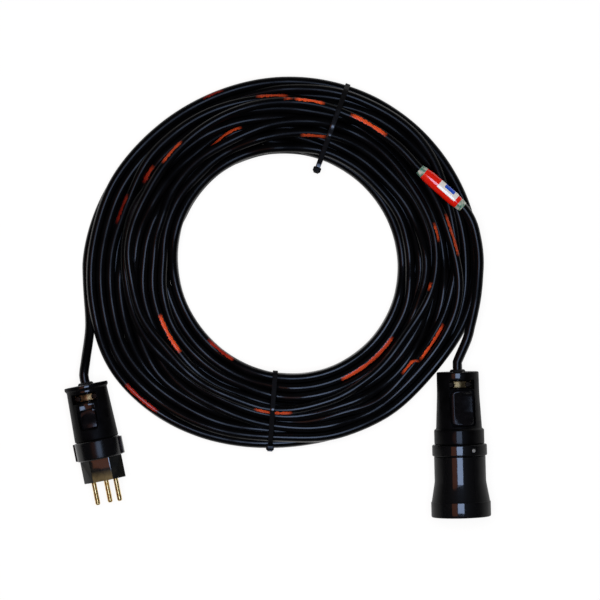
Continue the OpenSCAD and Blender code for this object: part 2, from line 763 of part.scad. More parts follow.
module coupler_core_line()
    color([0.45, 0.25, 0.12]) on_coupler() core(150, -pin_x, live_y, contact_back);
module coupler_core_neutral()
    color([0.15, 0.30, 0.70]) on_coupler() core(30, pin_x, live_y, contact_back);
module coupler_core_earth()
    color([0.55, 0.70, 0.15]) on_coupler() core(270, 0, -earth_y, contact_back);

// ---- Cord, ties and label ----

module cord_coil() color([0.10, 0.10, 0.11]) tube(coil_path, cord_r, coil_sides);
module plug_cord_tail() color([0.12, 0.12, 0.13]) tube(plug_tail_path, cord_r, 12);
module coupler_cord_tail() color([0.12, 0.12, 0.13]) tube(coupler_tail_path, cord_r, 12);

// A tie round the bundle of turns at one direction. Its head stands on the inner side
// of the bundle (side = -1) or on the outer side (side = 1), at the end of a neck where
// the strap's two ends run together.
module tie(a, side, neck) {
    bulge = (outer_lane(a) - inner_lane(a)) / layer_turns / 8;
    chord_dip = inner_lane(a) * (1 - cos(180 / ring_steps));
    room = cord_r + bulge + tie_gap;
    low = inner_lane(a) - room - chord_dip;
    high = outer_lane(a) + room;
    top = turn_h + 3 * layer_rise + tie_raise + cord_r + end_raise + tie_gap;
    corner = 3;
    edge = side < 0 ? low - tie_t : high + tie_t;
    head_z = top - tie_head_l - 2 * corner;
    middle = head_z + tie_head_l / 2;
    rotate([0, 0, a]) {
        translate([0, tie_w / 2, 0]) rotate([90, 0, 0]) linear_extrude(tie_w) difference() {
            translate([(low + high) / 2, (top + tie_t) / 2])
                round_rect(high - low + 2 * tie_t, top + tie_t, corner + tie_t);
            translate([(low + high) / 2, (top + tie_t) / 2])
                round_rect(high - low, top - tie_t, corner);
        }
        translate([edge, 0, middle]) mirror([side < 0 ? 1 : 0, 0, 0]) {
            translate([-eps, -tie_w / 2, -tie_t])
                cube([neck + 2 * eps, tie_w, 2 * tie_t]);
            translate([neck, -tie_head_w / 2, -tie_head_l / 2])
                cube([tie_head_h, tie_head_w, tie_head_l]);
            translate([neck + tie_head_h - eps, -tie_w / 2, -tie_t / 2])
                cube([tie_end_l + eps, tie_w, tie_t]);
        }
    }
}

module top_tie() color([0.06, 0.06, 0.06]) tie(top_tie_angle, -1, tie_neck_l);
module bottom_tie() color([0.06, 0.06, 0.06]) tie(bottom_tie_angle, 1, 0);

// Places +Z along the label's straight stretch, from its first end.
module on_label() {
    run = label_to - label_from;
    translate(label_from)
        rotate([0, acos(run.z / norm(run)), atan2(run.y, run.x)]) children();
}

label_l = norm(label_to - label_from);

module label_sleeve()
    color([0.80, 0.12, 0.10]) on_label() difference() {
        cylinder(d = label_d, h = label_l);
        translate([0, 0, -1]) cylinder(r = cord_r + tie_gap, h = label_l + 2);
    }

module label_tape_bands()
    color([0.60, 0.64, 0.60]) on_label()
        for (z = [0, label_l - tape_l]) translate([0, 0, z]) difference() {
            cylinder(d = label_d + 2 * tape_t, h = tape_l);
            translate([0, 0, -1]) cylinder(d = label_d, h = tape_l + 2);
        }

// ---- Nodes ----

cord_coil();
plug_cord_tail();
coupler_cord_tail();
top_tie();
bottom_tie();
label_sleeve();
label_tape_bands();
plug_handle_shell();
plug_grommet();
plug_clamp_bridge();
plug_clamp_screws();
plug_thumb_plate();
plug_union_ring();
plug_seal();
plug_pin_carrier();
plug_pin_line();
plug_pin_neutral();
plug_pin_earth();
plug_terminal_screws();
plug_core_line();
plug_core_neutral();
plug_core_earth();
coupler_handle_shell();
coupler_grommet();
coupler_clamp_bridge();
coupler_clamp_screws();
coupler_thumb_plate();
coupler_union_ring();
coupler_seal();
coupler_sleeve();
coupler_face_insert();
coupler_contact_block();
coupler_contact_line();
coupler_contact_neutral();
coupler_contact_earth();
coupler_contact_springs();
coupler_terminal_screws();
coupler_insert_screws();
coupler_core_line();
coupler_core_neutral();
coupler_core_earth();
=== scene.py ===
# A shore power cord: eighteen and a half metres of black rubber cord, wound by hand into
# a flat round coil and held by two nylon ties, with a three-pin plug on one end and a
# three-hole coupler on the other. Metres: the middle of the coil's eye, on the table, is the
# origin, +Z is up and the two connectors lie towards -Y.
import math

import bmesh
import bpy
import numpy as np
from mathutils import Matrix, Vector, geometry


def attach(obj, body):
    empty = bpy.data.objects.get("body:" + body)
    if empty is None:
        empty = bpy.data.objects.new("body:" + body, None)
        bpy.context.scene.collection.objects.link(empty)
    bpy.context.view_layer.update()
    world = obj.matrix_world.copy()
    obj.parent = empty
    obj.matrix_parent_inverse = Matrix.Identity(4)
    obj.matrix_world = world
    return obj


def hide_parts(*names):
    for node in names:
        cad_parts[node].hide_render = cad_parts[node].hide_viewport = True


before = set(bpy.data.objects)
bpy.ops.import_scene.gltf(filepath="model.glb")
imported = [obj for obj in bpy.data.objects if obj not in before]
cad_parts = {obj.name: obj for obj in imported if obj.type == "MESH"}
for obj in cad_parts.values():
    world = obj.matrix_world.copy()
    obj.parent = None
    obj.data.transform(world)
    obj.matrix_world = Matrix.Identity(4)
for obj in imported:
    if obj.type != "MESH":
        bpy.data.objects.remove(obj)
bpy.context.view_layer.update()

# ---- Camera ----
# The cord is seen straight down, as it lies on a white table. A long lens from well above
# keeps the sides of the two connectors out of sight.
mm = 0.001
view_middle = (14.2 * mm, -30.8 * mm)
view_width = 500 * mm
camera_height = 2.52
sharp_height = 20 * mm          # the view is view_width across at this height


def add_object(name, data):
    """Adds an object to the scene."""
    added = bpy.data.objects.new(name, data)
    bpy.context.scene.collection.objects.link(added)
    return added


camera = add_object("camera", bpy.data.cameras.new("camera"))
camera.data.sensor_width = 36
camera.data.lens = camera.data.sensor_width * (camera_height - sharp_height) / view_width
camera.location = (*view_middle, camera_height)
bpy.context.scene.camera = camera

# ---- Cord ----
# One unbroken length of three-core cord in a black rubber jacket. It was wound by hand, so
# its turns wander, cross and bed into each other, and they are settled here under their
# own weight between the coil's inner and outer edge, round the ties and under the label.
cord_d = 8 * mm
cord_r = cord_d / 2
cord_turns = 23                 # whole turns before the last part turn to the coupler
start_angle = 180               # the coil starts here, in degrees counter-clockwise from +X
lie_free_angle = 70             # from here to the coupler the cord lies where it was laid
last_angle = -24
stations = 96                   # settled points in one turn
plug_at, plug_yaw, plug_roll = (-164.4 * mm, -101.4 * mm, 19.5 * mm), 11.5, 10
coupler_at, coupler_yaw, coupler_roll = (145.25 * mm, -90.5 * mm, 24.5 * mm), 1.5, -10
jacket_in = 20 * mm             # length of jacket inside each connector
tie_angles = (70, 266)
strap_t = 1.2 * mm
label_from = (113.7, 77.8, 28.4)
label_to = (149.5, 46.4, 28.4)
label_r = 5.85 * mm
plug_route = [
    (-165, -84, 17.5), (-163.6, -72, 13.5), (-162, -60, 9.5), (-161.8, -48, 6.8),
    (-162.6, -36, 5.2), (-163.5, -24, 4.4), (-164.2, -10, 4.1), (-164.3, 0, 4.05),
    (-162.6, 8.6, 4)
]
coupler_route = [
    (46, 126.3, 27.8), (64, 118.5, 27.8), (82, 107.5, 27.8), (98, 95, 28), label_from,
    (125.6, 67.4, 28.4), (137.6, 56.8, 28.4), label_to, (157, 34.5, 28), (161, 20, 27.4),
    (163, 4, 27), (162.4, -13, 26.8), (160.8, -29, 26.6), (157.7, -45, 26.2),
    (154, -60, 25.6), (150.6, -73, 25)
]


def connector_axis(place, yaw, back):
    """A point on a connector's axis, that far in from its cord entry, in millimetres."""
    turn = math.radians(yaw)
    return (place[0] / mm + back * math.sin(turn), place[1] / mm - back * math.cos(turn),
            place[2] / mm)


def line_through(points, spacing):
    """A smooth line through points, as new points about that far apart."""
    p = np.array(points, float)
    p = np.vstack([2 * p[0] - p[1], p, 2 * p[-1] - p[-2]])
    line = []
    for i in range(1, len(p) - 2):
        count = max(1, round(np.linalg.norm(p[i + 1] - p[i]) / spacing))
        u = np.linspace(0, 1, count, endpoint=False)[:, None]
        line.append(p[i] + 0.5 * ((p[i + 1] - p[i - 1]) * u
                    + (2 * p[i - 1] - 5 * p[i] + 4 * p[i + 1] - p[i + 2]) * u ** 2
                    + (3 * p[i] - p[i - 1] - 3 * p[i + 1] + p[i + 2]) * u ** 3))
    return np.vstack([*line, p[-2:-1]])


def apart(a, b):
    """How far directions lie apart, in degrees."""
    return np.abs((a - b + 540) % 360 - 180)


def ease(x):
    """0 to 1 with a soft start and end."""
    x = np.clip(x, 0, 1)
    return x * x * (3 - 2 * x)


def inner_edge(a):
    """Radius of the coil's eye in a direction: a circle, off centre and a little skew."""
    turn = np.radians(a)
    return (92 + 4 * np.cos(turn) - 1.8 * np.sin(2 * turn)) * mm


def outer_edge(a):
    """Radius of the coil's outline: an oval, drawn out at the plug and at the label, and
    pressed in where the coupler's rear end lies against it."""
    turn = np.radians(a)
    dent = 3.6 * (1 - np.minimum(1, apart(a, 325) / 22) ** 2) ** 2
    return (160.75 + 5.75 * np.cos(2 * turn) + 3.6 * np.sin(2 * turn) - 1.8 * np.cos(turn)
            - 1.2 * np.sin(turn) - 2 * np.sin(3 * turn) - dent) * mm


def between(values, n):
    """The mean of the values n places before and after each."""
    padded = np.pad(values, n, mode="edge")
    return 0.5 * (padded[:-2 * n] + padded[2 * n:])


def unbend(values, share, n):
    """Straightens a row of values, as the cord's stiffness does."""
    bend = between(values, n) - values
    values -= share * (between(bend, n) - bend)


def follow(route, angles):
    """Radius and height of a route at given directions, clockwise."""
    around = np.degrees(np.unwrap(np.arctan2(route[:, 1], route[:, 0])))
    radius = np.hypot(route[:, 0], route[:, 1])
    return (np.interp(-angles, -around, radius) * mm,
            np.interp(-angles, -around, route[:, 2]) * mm)


def settle_coil():
    """The coil's centreline and the free cord on it, from the plug's side to the coupler's:
    directions in degrees, radii and heights."""
    lead_in = line_through([connector_axis(plug_at, plug_yaw, 0), *plug_route], 2)
    lead_out = line_through([*coupler_route, connector_axis(coupler_at, coupler_yaw, 0)], 2)
    first = -stations // 16
    final = round((start_angle - last_angle) / 360 * stations) + cord_turns * stations
    turn = np.arange(first, final + 1) / stations
    count = len(turn)
    angle = start_angle - 360 * turn
    free_turn = cord_turns + (start_angle - lie_free_angle) / 360

    # Where the hand laid each turn: to and fro across the coil, with slow wandering.
    chance = np.random.default_rng(8)
    sweep = (turn / 6.5) % 2
    lane = np.where(sweep < 1, 1 - sweep, sweep - 1)
    for pace, reach in ((0.29, 0.10), (0.47, 0.09), (0.83, 0.07), (1.31, 0.04)):
        lane = lane + reach * np.sin(2 * np.pi * (pace * turn + chance.random()))
    low = inner_edge(angle) + cord_r
    high = outer_edge(angle) - cord_r
    laid = low + np.clip(lane, 0, 1) * (high - low)
    laid = between(between(laid, 2), 1)
    in_r, in_z = follow(lead_in, angle - 360)
    out_r, out_z = follow(lead_out, angle + 360 * cord_turns)
    near_plug = ease(1 - (turn - 0.01) / 0.12)
    near_coupler = ease((turn - free_turn + 0.30) / 0.30)
    laid += near_plug * (in_r - laid)
    laid += near_coupler * (out_r - laid)
    hold_r = np.where(turn <= 0, 1, near_coupler ** 2)
    hold_z = np.where(turn <= 0, 1, np.clip((turn - free_turn + 0.06) / 0.06, 0, 1))
    held_z = np.where(turn < 1, in_z, out_z)

    # The label makes the cord thicker where it is wrapped round it.
    r, z = laid.copy(), np.where(turn < 0, in_z, cord_r + 4.5 * mm * turn)
    above = np.where(turn > 1, z - held_z, 0)
    aside = angle + 360 * cord_turns
    under_label = ((aside < math.degrees(math.atan2(label_from[1], label_from[0])) + 1)
                   & (aside > math.degrees(math.atan2(label_to[1], label_to[0])) - 1))
    thick = np.where(under_label, label_r + 0.1 * mm, cord_r)
    ride = ease((40 - np.minimum(*(apart(angle, tie) for tie in tie_angles))) / 22)
    floor = cord_r + (strap_t + 0.3 * mm) * ride
    high = np.where((turn > free_turn - 0.3) | (turn < 0), 1, high)

    steps, last_steps = 1200, 250
    sink, last_sink = 0.22 * mm, 0.02 * mm      # how far the cord sinks in one step
    for step in range(steps):
        done = step / steps
        if step < steps - last_steps:
            z -= sink * (1 - 0.7 * done)
            r += (laid - r) * 0.01 * (1 - done)
            for row in (r, z):
                unbend(row, 0.30, 1)
                unbend(row, 0.25, 3)
        else:
            z -= last_sink
            unbend(r, 0.2, 1)
            unbend(z, 0.2, 1)
        for m in range(stations, count, stations):
            dr, dz = r[m:] - r[:-m], z[m:] - z[:-m]
            gap = np.maximum(np.hypot(dr, dz), 1e-9)
            push = 0.5 * np.maximum(thick[m:] + thick[:-m] - gap, 0) / gap
            r[m:] += 0.8 * dr * push
            r[:-m] -= 0.8 * dr * push
            z[m:] += dz * push
            z[:-m] -= dz * push
        np.maximum(z, floor, out=z)
        r += 0.5 * (np.clip(r, low, high) - r)
        r += (laid - r) * hold_r
        z += (held_z + above * max(0, 1 - done / 0.6) - z) * hold_z
    return angle, r, z


angle, radius, height = settle_coil()
settled = np.c_[radius * np.cos(np.radians(angle)), radius * np.sin(np.radians(angle)), height]
from_plug = line_through(
    [connector_axis(plug_at, plug_yaw, back) for back in (jacket_in / mm, 0, -cord_d / mm)]
    + plug_route[:2], 4)[:-1] * mm
to_coupler = line_through(
    [connector_axis(coupler_at, coupler_yaw, back)
     for back in (-cord_d / mm, 0, jacket_in / mm)], 4) * mm
cord_line = line_through(np.vstack([from_plug, settled, to_coupler])[::-1], 4 * mm)

curve = bpy.data.curves.new("cord_line", "CURVE")
curve.dimensions = "3D"
curve.twist_mode = "Z_UP"
curve.bevel_depth = cord_r
curve.bevel_resolution = 6
curve.use_fill_caps = True
sides = 16
spline = curve.splines.new("POLY")
spline.points.add(len(cord_line) - 1)
spline.points.foreach_set("co", np.c_[cord_line, np.ones(len(cord_line))].ravel())
rod = bpy.data.objects.new("rod", curve)
cord = add_object("cord", bpy.data.meshes.new_from_object(rod))
bpy.data.objects.remove(rod)

# Printing on the jacket: short rows of plain bars, worn in places. Each is given by where
# it shows from above, its length and how fresh it is.
prints = [
    (22.5, 135, 25, 1.0), (4, 138.3, 8, 0.5), (70.8, 115.8, 30, 0.9), (26.3, 102.1, 21, 0.5),
    (-6.7, 142.5, 22, 0.6), (-54.2, 105.8, 36, 0.6), (-93.8, 92.5, 24, 0.6),
    (-112.9, 73.8, 11, 0.5), (-135.4, 44.2, 21, 0.4), (-58.3, 144.2, 17, 0.5),
    (-94.6, -60.4, 31, 1.0), (-52.5, -72.5, 29, 0.9), (-119.7, -112.5, 33, 0.9),
    (-9.6, -125.8, 27, 0.7), (72.9, -82.1, 50, 0.8), (102.9, -85.4, 18, 0.8),
    (125.4, -65.4, 34, 1.0), (121.7, -17.5, 5, 0.7), (141.7, 23.3, 29, 0.5),
    (129.6, 25, 10, 0.6)
]
vertices = np.empty(len(cord.data.vertices) * 3)
cord.data.vertices.foreach_get("co", vertices)
vertices = vertices.reshape(-1, 3)
rings = vertices[2 * sides:].reshape(-1, sides, 3)
middles = rings.mean(axis=1)
travelled = np.r_[0, np.cumsum(np.linalg.norm(np.diff(middles, axis=0), axis=1))]
printed = np.zeros((len(vertices), 3))
on_rings = printed[2 * sides:].reshape(-1, sides, 3)


def sideways(ring):
    """The level direction across the cord at one of its rings."""
    ahead = middles[min(ring + 1, len(middles) - 1)] - middles[ring - 1]
    return np.cross([0, 0, 1], ahead / np.linalg.norm(ahead))


blank_l = 10 * mm               # bare jacket past each end of a row
for x, y, length, ink in prints:
    spot = np.array([x, y]) * mm
    reach = np.hypot(*(middles[:, :2] - spot).T)
    here = np.argmax(np.where(reach < 0.8 * cord_d, middles[:, 2] - 0.8 * reach, -1))
    aside = np.clip((spot - middles[here, :2]) @ sideways(here)[:2] / cord_r, -0.7, 0.7)
    gone = travelled - travelled[here]
    for ring in np.flatnonzero(np.abs(gone) < length * mm / 2 + blank_l):
        inked = abs(gone[ring]) < length * mm / 2
        if on_rings[ring, 0, 2] and not inked:
            continue
        out = (rings[ring] - middles[ring]) / cord_r
        lean = np.arctan2(out @ sideways(ring), out[:, 2]) - math.asin(aside)
        on_rings[ring, :, 0] = gone[ring]
        on_rings[ring, :, 1] = lean * cord_r
        on_rings[ring, :, 2] = ink if inked else 0
place = cord.data.attributes.new("print_place", "FLOAT_VECTOR", "POINT")
place.data.foreach_set("vector", printed.ravel())
work = bmesh.new()
work.from_mesh(cord.data)
bmesh.ops.remove_doubles(work, verts=work.verts[:], dist=1e-6)
work.to_mesh(cord.data)
work.free()


def linear(colour):
    """An sRGB hex colour as linear red, green, blue and alpha."""
    parts = [int(colour[i:i + 2], 16) / 255 for i in (1, 3, 5)]
    return [c / 12.92 if c <= 0.04045 else ((c + 0.055) / 1.055) ** 2.4 for c in parts] + [1]


def add_node(tree, kind, inputs=None, **settings):
    """Adds a node with its settings; an input is a value or the socket that feeds it."""
    node = tree.nodes.new("ShaderNode" + kind)
    for name, value in settings.items():
        setattr(node, name, value)
    for name, value in (inputs or {}).items():
        if isinstance(value, bpy.types.NodeSocket):
            tree.links.new(value, node.inputs[name])
        else:
            node.inputs[name].default_value = value
    return node


def new_material(name, sockets):
    """A material with its node tree and its shader, whose sockets are given by name."""
    material = bpy.data.materials.new(name)
    material.use_nodes = True
    shader = material.node_tree.nodes["Principled BSDF"]
    for socket, value in sockets.items():
        shader.inputs[socket].default_value = value
    return material, material.node_tree, shader


# Neoprene rubber, extruded: deep black, with a gloss that draws one thin bright line along
# each turn where handling has polished it, and duller and dustier on the side away from the
# connectors. The real grain of about 0.1 mm is drawn at 0.5 mm, so that it shows. The print
# is a clean orange on the top turns and a darker, duller red on the turns below, by height.
jacket, tree, shader = new_material("extruded_neoprene", {
    "IOR": 1.52, "Specular IOR Level": 0.1, "Coat IOR": 1.5, "Coat Roughness": 0.1})
spot = add_node(tree, "TexCoord").outputs["Object"]
dust = add_node(tree, "TexNoise", {"Vector": spot, "Scale": 1 / (14 * mm), "Detail": 4})
grain = add_node(tree, "TexNoise", {"Vector": spot, "Scale": 1 / (0.5 * mm), "Detail": 2})
black = add_node(tree, "ValToRGB", {"Fac": dust.outputs["Fac"]})
black.color_ramp.elements[0].position, black.color_ramp.elements[1].position = 0.35, 0.75
black.color_ramp.elements[0].color = linear("#030304")
black.color_ramp.elements[1].color = linear("#08080a")
handled = add_node(tree, "TexNoise", {"Vector": spot, "Scale": 1 / (45 * mm), "Detail": 3})
gloss = add_node(tree, "MapRange", {"Value": handled.outputs["Fac"], "From Min": 0.35,
                                    "From Max": 0.65, "To Min": 0.42, "To Max": 0.2})
polish = add_node(tree, "MapRange", {"Value": handled.outputs["Fac"], "From Min": 0.4,
                                     "From Max": 0.62, "To Min": 0.06, "To Max": 0.6})
across = add_node(tree, "SeparateXYZ", {"Vector": spot}).outputs["Y"]
clean = add_node(tree, "MapRange", {"Value": across, "From Min": -60 * mm, "From Max": 60 * mm,
                                    "To Min": 1, "To Max": 0.3})
polish = add_node(tree, "Math", {0: polish.outputs["Result"], 1: clean.outputs["Result"]},
                  operation="MULTIPLY")
tree.links.new(polish.outputs[0], shader.inputs["Coat Weight"])
print_place = add_node(tree, "Attribute", attribute_name="print_place").outputs["Vector"]
parts = add_node(tree, "SeparateXYZ", {"Vector": print_place})
bar_pitch = 1.3 * mm
bar_count = add_node(tree, "Math", {0: parts.outputs["X"], 1: 1 / bar_pitch},
                     operation="MULTIPLY")
bar_number = add_node(tree, "Math", {0: bar_count.outputs[0]}, operation="FLOOR")
bar_place = add_node(tree, "Math", {0: bar_count.outputs[0]}, operation="FRACT")
chance = add_node(tree, "TexWhiteNoise", {"W": bar_number.outputs[0]}, noise_dimensions="1D")
half_height = add_node(tree, "MapRange", {"Value": chance.outputs["Value"], "To Min": 1.2 * mm,
                                          "To Max": 2.0 * mm})
in_height = add_node(tree, "Math", {0: parts.outputs["Y"], 1: 0, 2: half_height.outputs[0]},
                     operation="COMPARE")
in_bar = add_node(tree, "Math", {0: bar_place.outputs[0], 1: 0.88}, operation="LESS_THAN")
wear = add_node(tree, "TexNoise", {"Vector": spot, "Scale": 1 / (1.1 * mm), "Detail": 3})
kept = add_node(tree, "Math", {0: wear.outputs["Fac"], 1: 0.16}, operation="SUBTRACT")
kept = add_node(tree, "Math", {0: kept.outputs[0], 1: 4.2}, operation="MULTIPLY",
                use_clamp=True)
ink = add_node(tree, "Math", {0: in_height.outputs[0], 1: in_bar.outputs[0]},
               operation="MULTIPLY")
ink = add_node(tree, "Math", {0: ink.outputs[0], 1: kept.outputs[0]}, operation="MULTIPLY")
ink = add_node(tree, "Math", {0: ink.outputs[0], 1: parts.outputs["Z"]}, operation="MULTIPLY")
# The print's colour goes by height alone: orange on the top turns, darker red lower in the
# pile.
level = add_node(tree, "SeparateXYZ", {"Vector": spot})
height_in_pile = add_node(tree, "MapRange", {"Value": level.outputs["Z"], "From Min": 17 * mm,
                                    "From Max": 25 * mm})
orange = add_node(tree, "Mix", {"Factor": height_in_pile.outputs["Result"], "A": linear("#b02c1c"),
                                "B": linear("#ff6030")}, data_type="RGBA")
inked = add_node(tree, "Mix", {"Factor": ink.outputs[0], "A": black.outputs["Color"],
                               "B": orange.outputs["Result"]}, data_type="RGBA")
tree.links.new(inked.outputs["Result"], shader.inputs["Base Color"])
tree.links.new(gloss.outputs["Result"], shader.inputs["Roughness"])
relief = add_node(tree, "Bump", {"Height": grain.outputs["Fac"], "Strength": 0.12,
                                 "Distance": 0.1 * mm})
tree.links.new(relief.outputs["Normal"], shader.inputs["Normal"])
cord.data.materials.clear()
cord.data.materials.append(jacket)
cord.data.shade_smooth()
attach(cord, "root")
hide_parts("cord_coil", "plug_cord_tail", "coupler_cord_tail")

# ---- Ties ----
# Two cable ties, each moulded in one piece of nylon: a strap pulled tight round all the
# turns, and the head that locks it. The top tie's head stands in the eye on a short neck;
# the bottom tie's head lies against the outermost turn.
strap_w = 4.2 * mm
# A head's size along the strap, across it and off it.
tie_head_l, tie_head_w, tie_head_h = 6.5 * mm, 6.6 * mm, 4 * mm
cut_end_l = 1.2 * mm
tie_head_z = 22.9 * mm


def strands_at(direction):
    """Where the turns pass a direction: how far out and how high, in millimetres."""
    turn = math.radians(direction)
    out = middles @ [math.cos(turn), math.sin(turn), 0] / mm
    beside = middles @ [-math.sin(turn), math.cos(turn), 0]
    passed = np.flatnonzero((beside[:-1] * beside[1:] < 0) & (out[:-1] > 0))
    return [(out[i], middles[i, 2] / mm) for i in passed]


def pulled_round(circles, thickness):
    """The inner and outer line of a tight strap round circles of (out, height, radius), in
    millimetres: one row of four numbers for each pair of points."""
    ways = np.linspace(0, 2 * math.pi, 60, endpoint=False)
    rims = [(c, math.cos(way), math.sin(way)) for c in circles for way in ways]
    tight = geometry.convex_hull_2d([(c[0] + c[2] * x, c[1] + c[2] * z) for c, x, z in rims])
    corners = []
    for c, x, z in (rims[i] for i in tight):
        corners.append([c[0] + c[2] * x, c[1] + c[2] * z,
                        c[0] + (c[2] + thickness) * x, c[1] + (c[2] + thickness) * z])
    line = []
    for a, b in zip(np.array(corners), np.roll(corners, -1, axis=0)):
        count = max(1, round(math.hypot(*(b - a)[:2]) / 1.5))
        line += [a + (b - a) * k / count for k in range(count)]
    return np.array(line)


def soften(work, edges, width, steps=2):
    """Rounds some edges of a bmesh."""
    bmesh.ops.bevel(work, geom=edges, offset=width, segments=steps, profile=0.5,
                    affect="EDGES", material=-1)


def block(work, low, high, rounding):
    """Adds a block between two corners, with all its edges rounded."""
    made = bmesh.ops.create_cube(work, size=1)["verts"]
    low, high = Vector(low), Vector(high)
    for vert in made:
        vert.co = [a + (b - a) * (0.5 + c) for a, b, c in zip(low, high, vert.co)]
    if rounding:
        soften(work, list({e for v in made for e in v.link_edges}), rounding, 3)


def verts_of(made):
    """The vertices of what an operator made."""
    return [part for part in made["geom"] if isinstance(part, bmesh.types.BMVert)]


def face_out(work):
    """Turns the faces of a closed bmesh outwards."""
    bmesh.ops.recalc_face_normals(work, faces=work.faces[:])


def extrude(work, faces, way):
    """Makes a closed bmesh of a sheet of faces by drawing it out along a vector."""
    made = bmesh.ops.extrude_face_region(work, geom=faces, use_keep_orig=True)
    bmesh.ops.translate(work, vec=way, verts=verts_of(made))
    face_out(work)


def new_piece(name, work, place, material, body, slot, *nodes):
    """Makes a bmesh a piece: sets it in its place, gives it its material and body, and lets
    it stand for its solids."""
    work.transform(place)
    mesh = bpy.data.meshes.new(name)
    work.to_mesh(mesh)
    work.free()
    piece = add_object(name, mesh)
    mesh.materials.append(material)
    mesh.shade_smooth()
    mesh.set_sharp_from_angle(angle=math.radians(35))
    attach(piece, body)
    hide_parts(*nodes)
    return piece


# Nylon 66, injection moulded: black with a dull, slightly leathery skin. The neck and the
# places where the strap was dragged over a turn are polished.
nylon, tree, shader = new_material("moulded_nylon", {
    "IOR": 1.53, "Specular IOR Level": 0.12, "Coat IOR": 1.6, "Coat Roughness": 0.06})
spot = add_node(tree, "TexCoord").outputs["Object"]
skin = add_node(tree, "TexNoise", {"Vector": spot, "Scale": 1 / (0.9 * mm), "Detail": 3})
patches = add_node(tree, "TexNoise", {"Vector": spot, "Scale": 1 / (5 * mm), "Detail": 2})
dull = add_node(tree, "MapRange", {"Value": patches.outputs["Fac"], "From Min": 0.35,
                                   "From Max": 0.65, "To Min": 0.5, "To Max": 0.62})
polish = add_node(tree, "Attribute", attribute_name="polish")
gloss = add_node(tree, "Mix", {"Factor": polish.outputs["Fac"], "A": dull.outputs["Result"],
                               "B": 0.1})
black = add_node(tree, "ValToRGB", {"Fac": skin.outputs["Fac"]})
black.color_ramp.elements[0].color = linear("#070708")
black.color_ramp.elements[1].color = linear("#111113")
relief = add_node(tree, "Bump", {"Height": skin.outputs["Fac"], "Strength": 0.15,
                                 "Distance": 0.1 * mm})
tree.links.new(black.outputs["Color"], shader.inputs["Base Color"])
tree.links.new(gloss.outputs["Result"], shader.inputs["Roughness"])
tree.links.new(polish.outputs["Fac"], shader.inputs["Coat Weight"])
tree.links.new(relief.outputs["Normal"], shader.inputs["Normal"])


def pull_tie(name, direction, side, neck_end, polished):
    """Pulls a tie tight at a direction, its head on the inner side (-1) or the outer side (1).
    The head starts at neck_end, and polished lists (out, reach) of the strap's bright spots;
    all in metres."""
    circles = [(out, z, (cord_r + 0.1 * mm) / mm) for out, z in strands_at(direction)]
    circles.append(((neck_end - side * 4.6 * mm) / mm, tie_head_z / mm, 0.4))
    line = pulled_round(circles, strap_t / mm) * mm
    work = bmesh.new()
    polish = work.verts.layers.float.new("polish")
    for x, z in ((0, 1), (2, 3)):
        ring = [work.verts.new((row[x], strap_w / 2, row[z])) for row in line]
        for a, b in zip(ring, ring[1:] + ring[:1]):
            work.edges.new((a, b))
    rim = bmesh.ops.bridge_loops(work, edges=work.edges[:])["faces"]
    extrude(work, rim, (0, -strap_w, 0))
    soften(work, [e for e in work.edges if e.calc_face_angle(0) > 1], 0.25 * mm)
    face_out(work)

    start = min(line[:, 2]) if side < 0 else max(line[:, 2])
    reach = [start, neck_end, neck_end + side * tie_head_h,
             neck_end + side * (tie_head_h + cut_end_l)]
    for far, near, across, along, rounding in (
            (reach[1], reach[0] - side * 1.5 * mm, strap_w, 2 * strap_t, 0.25 * mm),
            (reach[2], reach[1], tie_head_w, tie_head_l, 0.8 * mm),
            (reach[3], reach[2] - side * mm, strap_w, strap_t, 0.25 * mm),
            (reach[2] + side * 0.35 * mm, reach[2] - side * mm, strap_w + 1.2 * mm,
             strap_t + 2.2 * mm, 0.3 * mm)):
        block(work, (min(far, near), -across / 2, tie_head_z - along / 2),
              (max(far, near), across / 2, tie_head_z + along / 2), rounding)
    for vert in work.verts:
        out = vert.co.x
        shine = 1 if 0 < side * (out - reach[0]) < abs(reach[1] - reach[0]) else 0
        for middle, size in polished:
            shine = max(shine, 1 - max(0, abs(out - middle) - size / 2) / mm)
        vert[polish] = max(0, min(1, shine))
    new_piece(name, work, Matrix.Rotation(math.radians(direction), 4, "Z"), nylon, "root",
              "nylon", name.replace("pulled_", ""))


pull_tie("pulled_top_tie", tie_angles[0], -1, 84.8 * mm,
         [(120.3 * mm, 1.2 * mm), (111.6 * mm, 1.5 * mm)])
pull_tie("pulled_bottom_tie", tie_angles[1], 1, 152 * mm,
         [(121.9 * mm, 2.2 * mm), (151.4 * mm, 1.5 * mm)])

# ---- Label ----
# A printed film label, rolled twice round the cord where it lies on top of the coil, with a
# turn of clear tape over each end. It bears plain bands of red, white and blue, and no words.
label_run = Vector(np.subtract(label_to, label_from)) * mm
label_l = label_run.length
label_place = (Matrix.Translation(Vector(label_from) * mm)
               @ Matrix.Rotation(math.atan2(label_run.y, label_run.x), 4, "Z")
               @ Matrix.Rotation(math.pi / 2, 4, "Y"))
label_bore = cord_r + 0.05 * mm
tape_l, tape_t = 5 * mm, 0.12 * mm


def label_surface(along, way):
    """The rolled film's outer radius: drawn in at its ends by the tape, grown by one film in
    each turn, and a little creased."""
    from_end = min(along, label_l - along)
    drawn_in = 1.45 * mm * (1 - min(1, from_end / (11 * mm))) ** 1.2
    creased = 0.03 * mm * math.sin(3 * way + 900 * along) * math.sin(420 * along + way)
    return label_r - 0.22 * mm - drawn_in + 0.16 * mm * way / (2 * math.pi) + creased


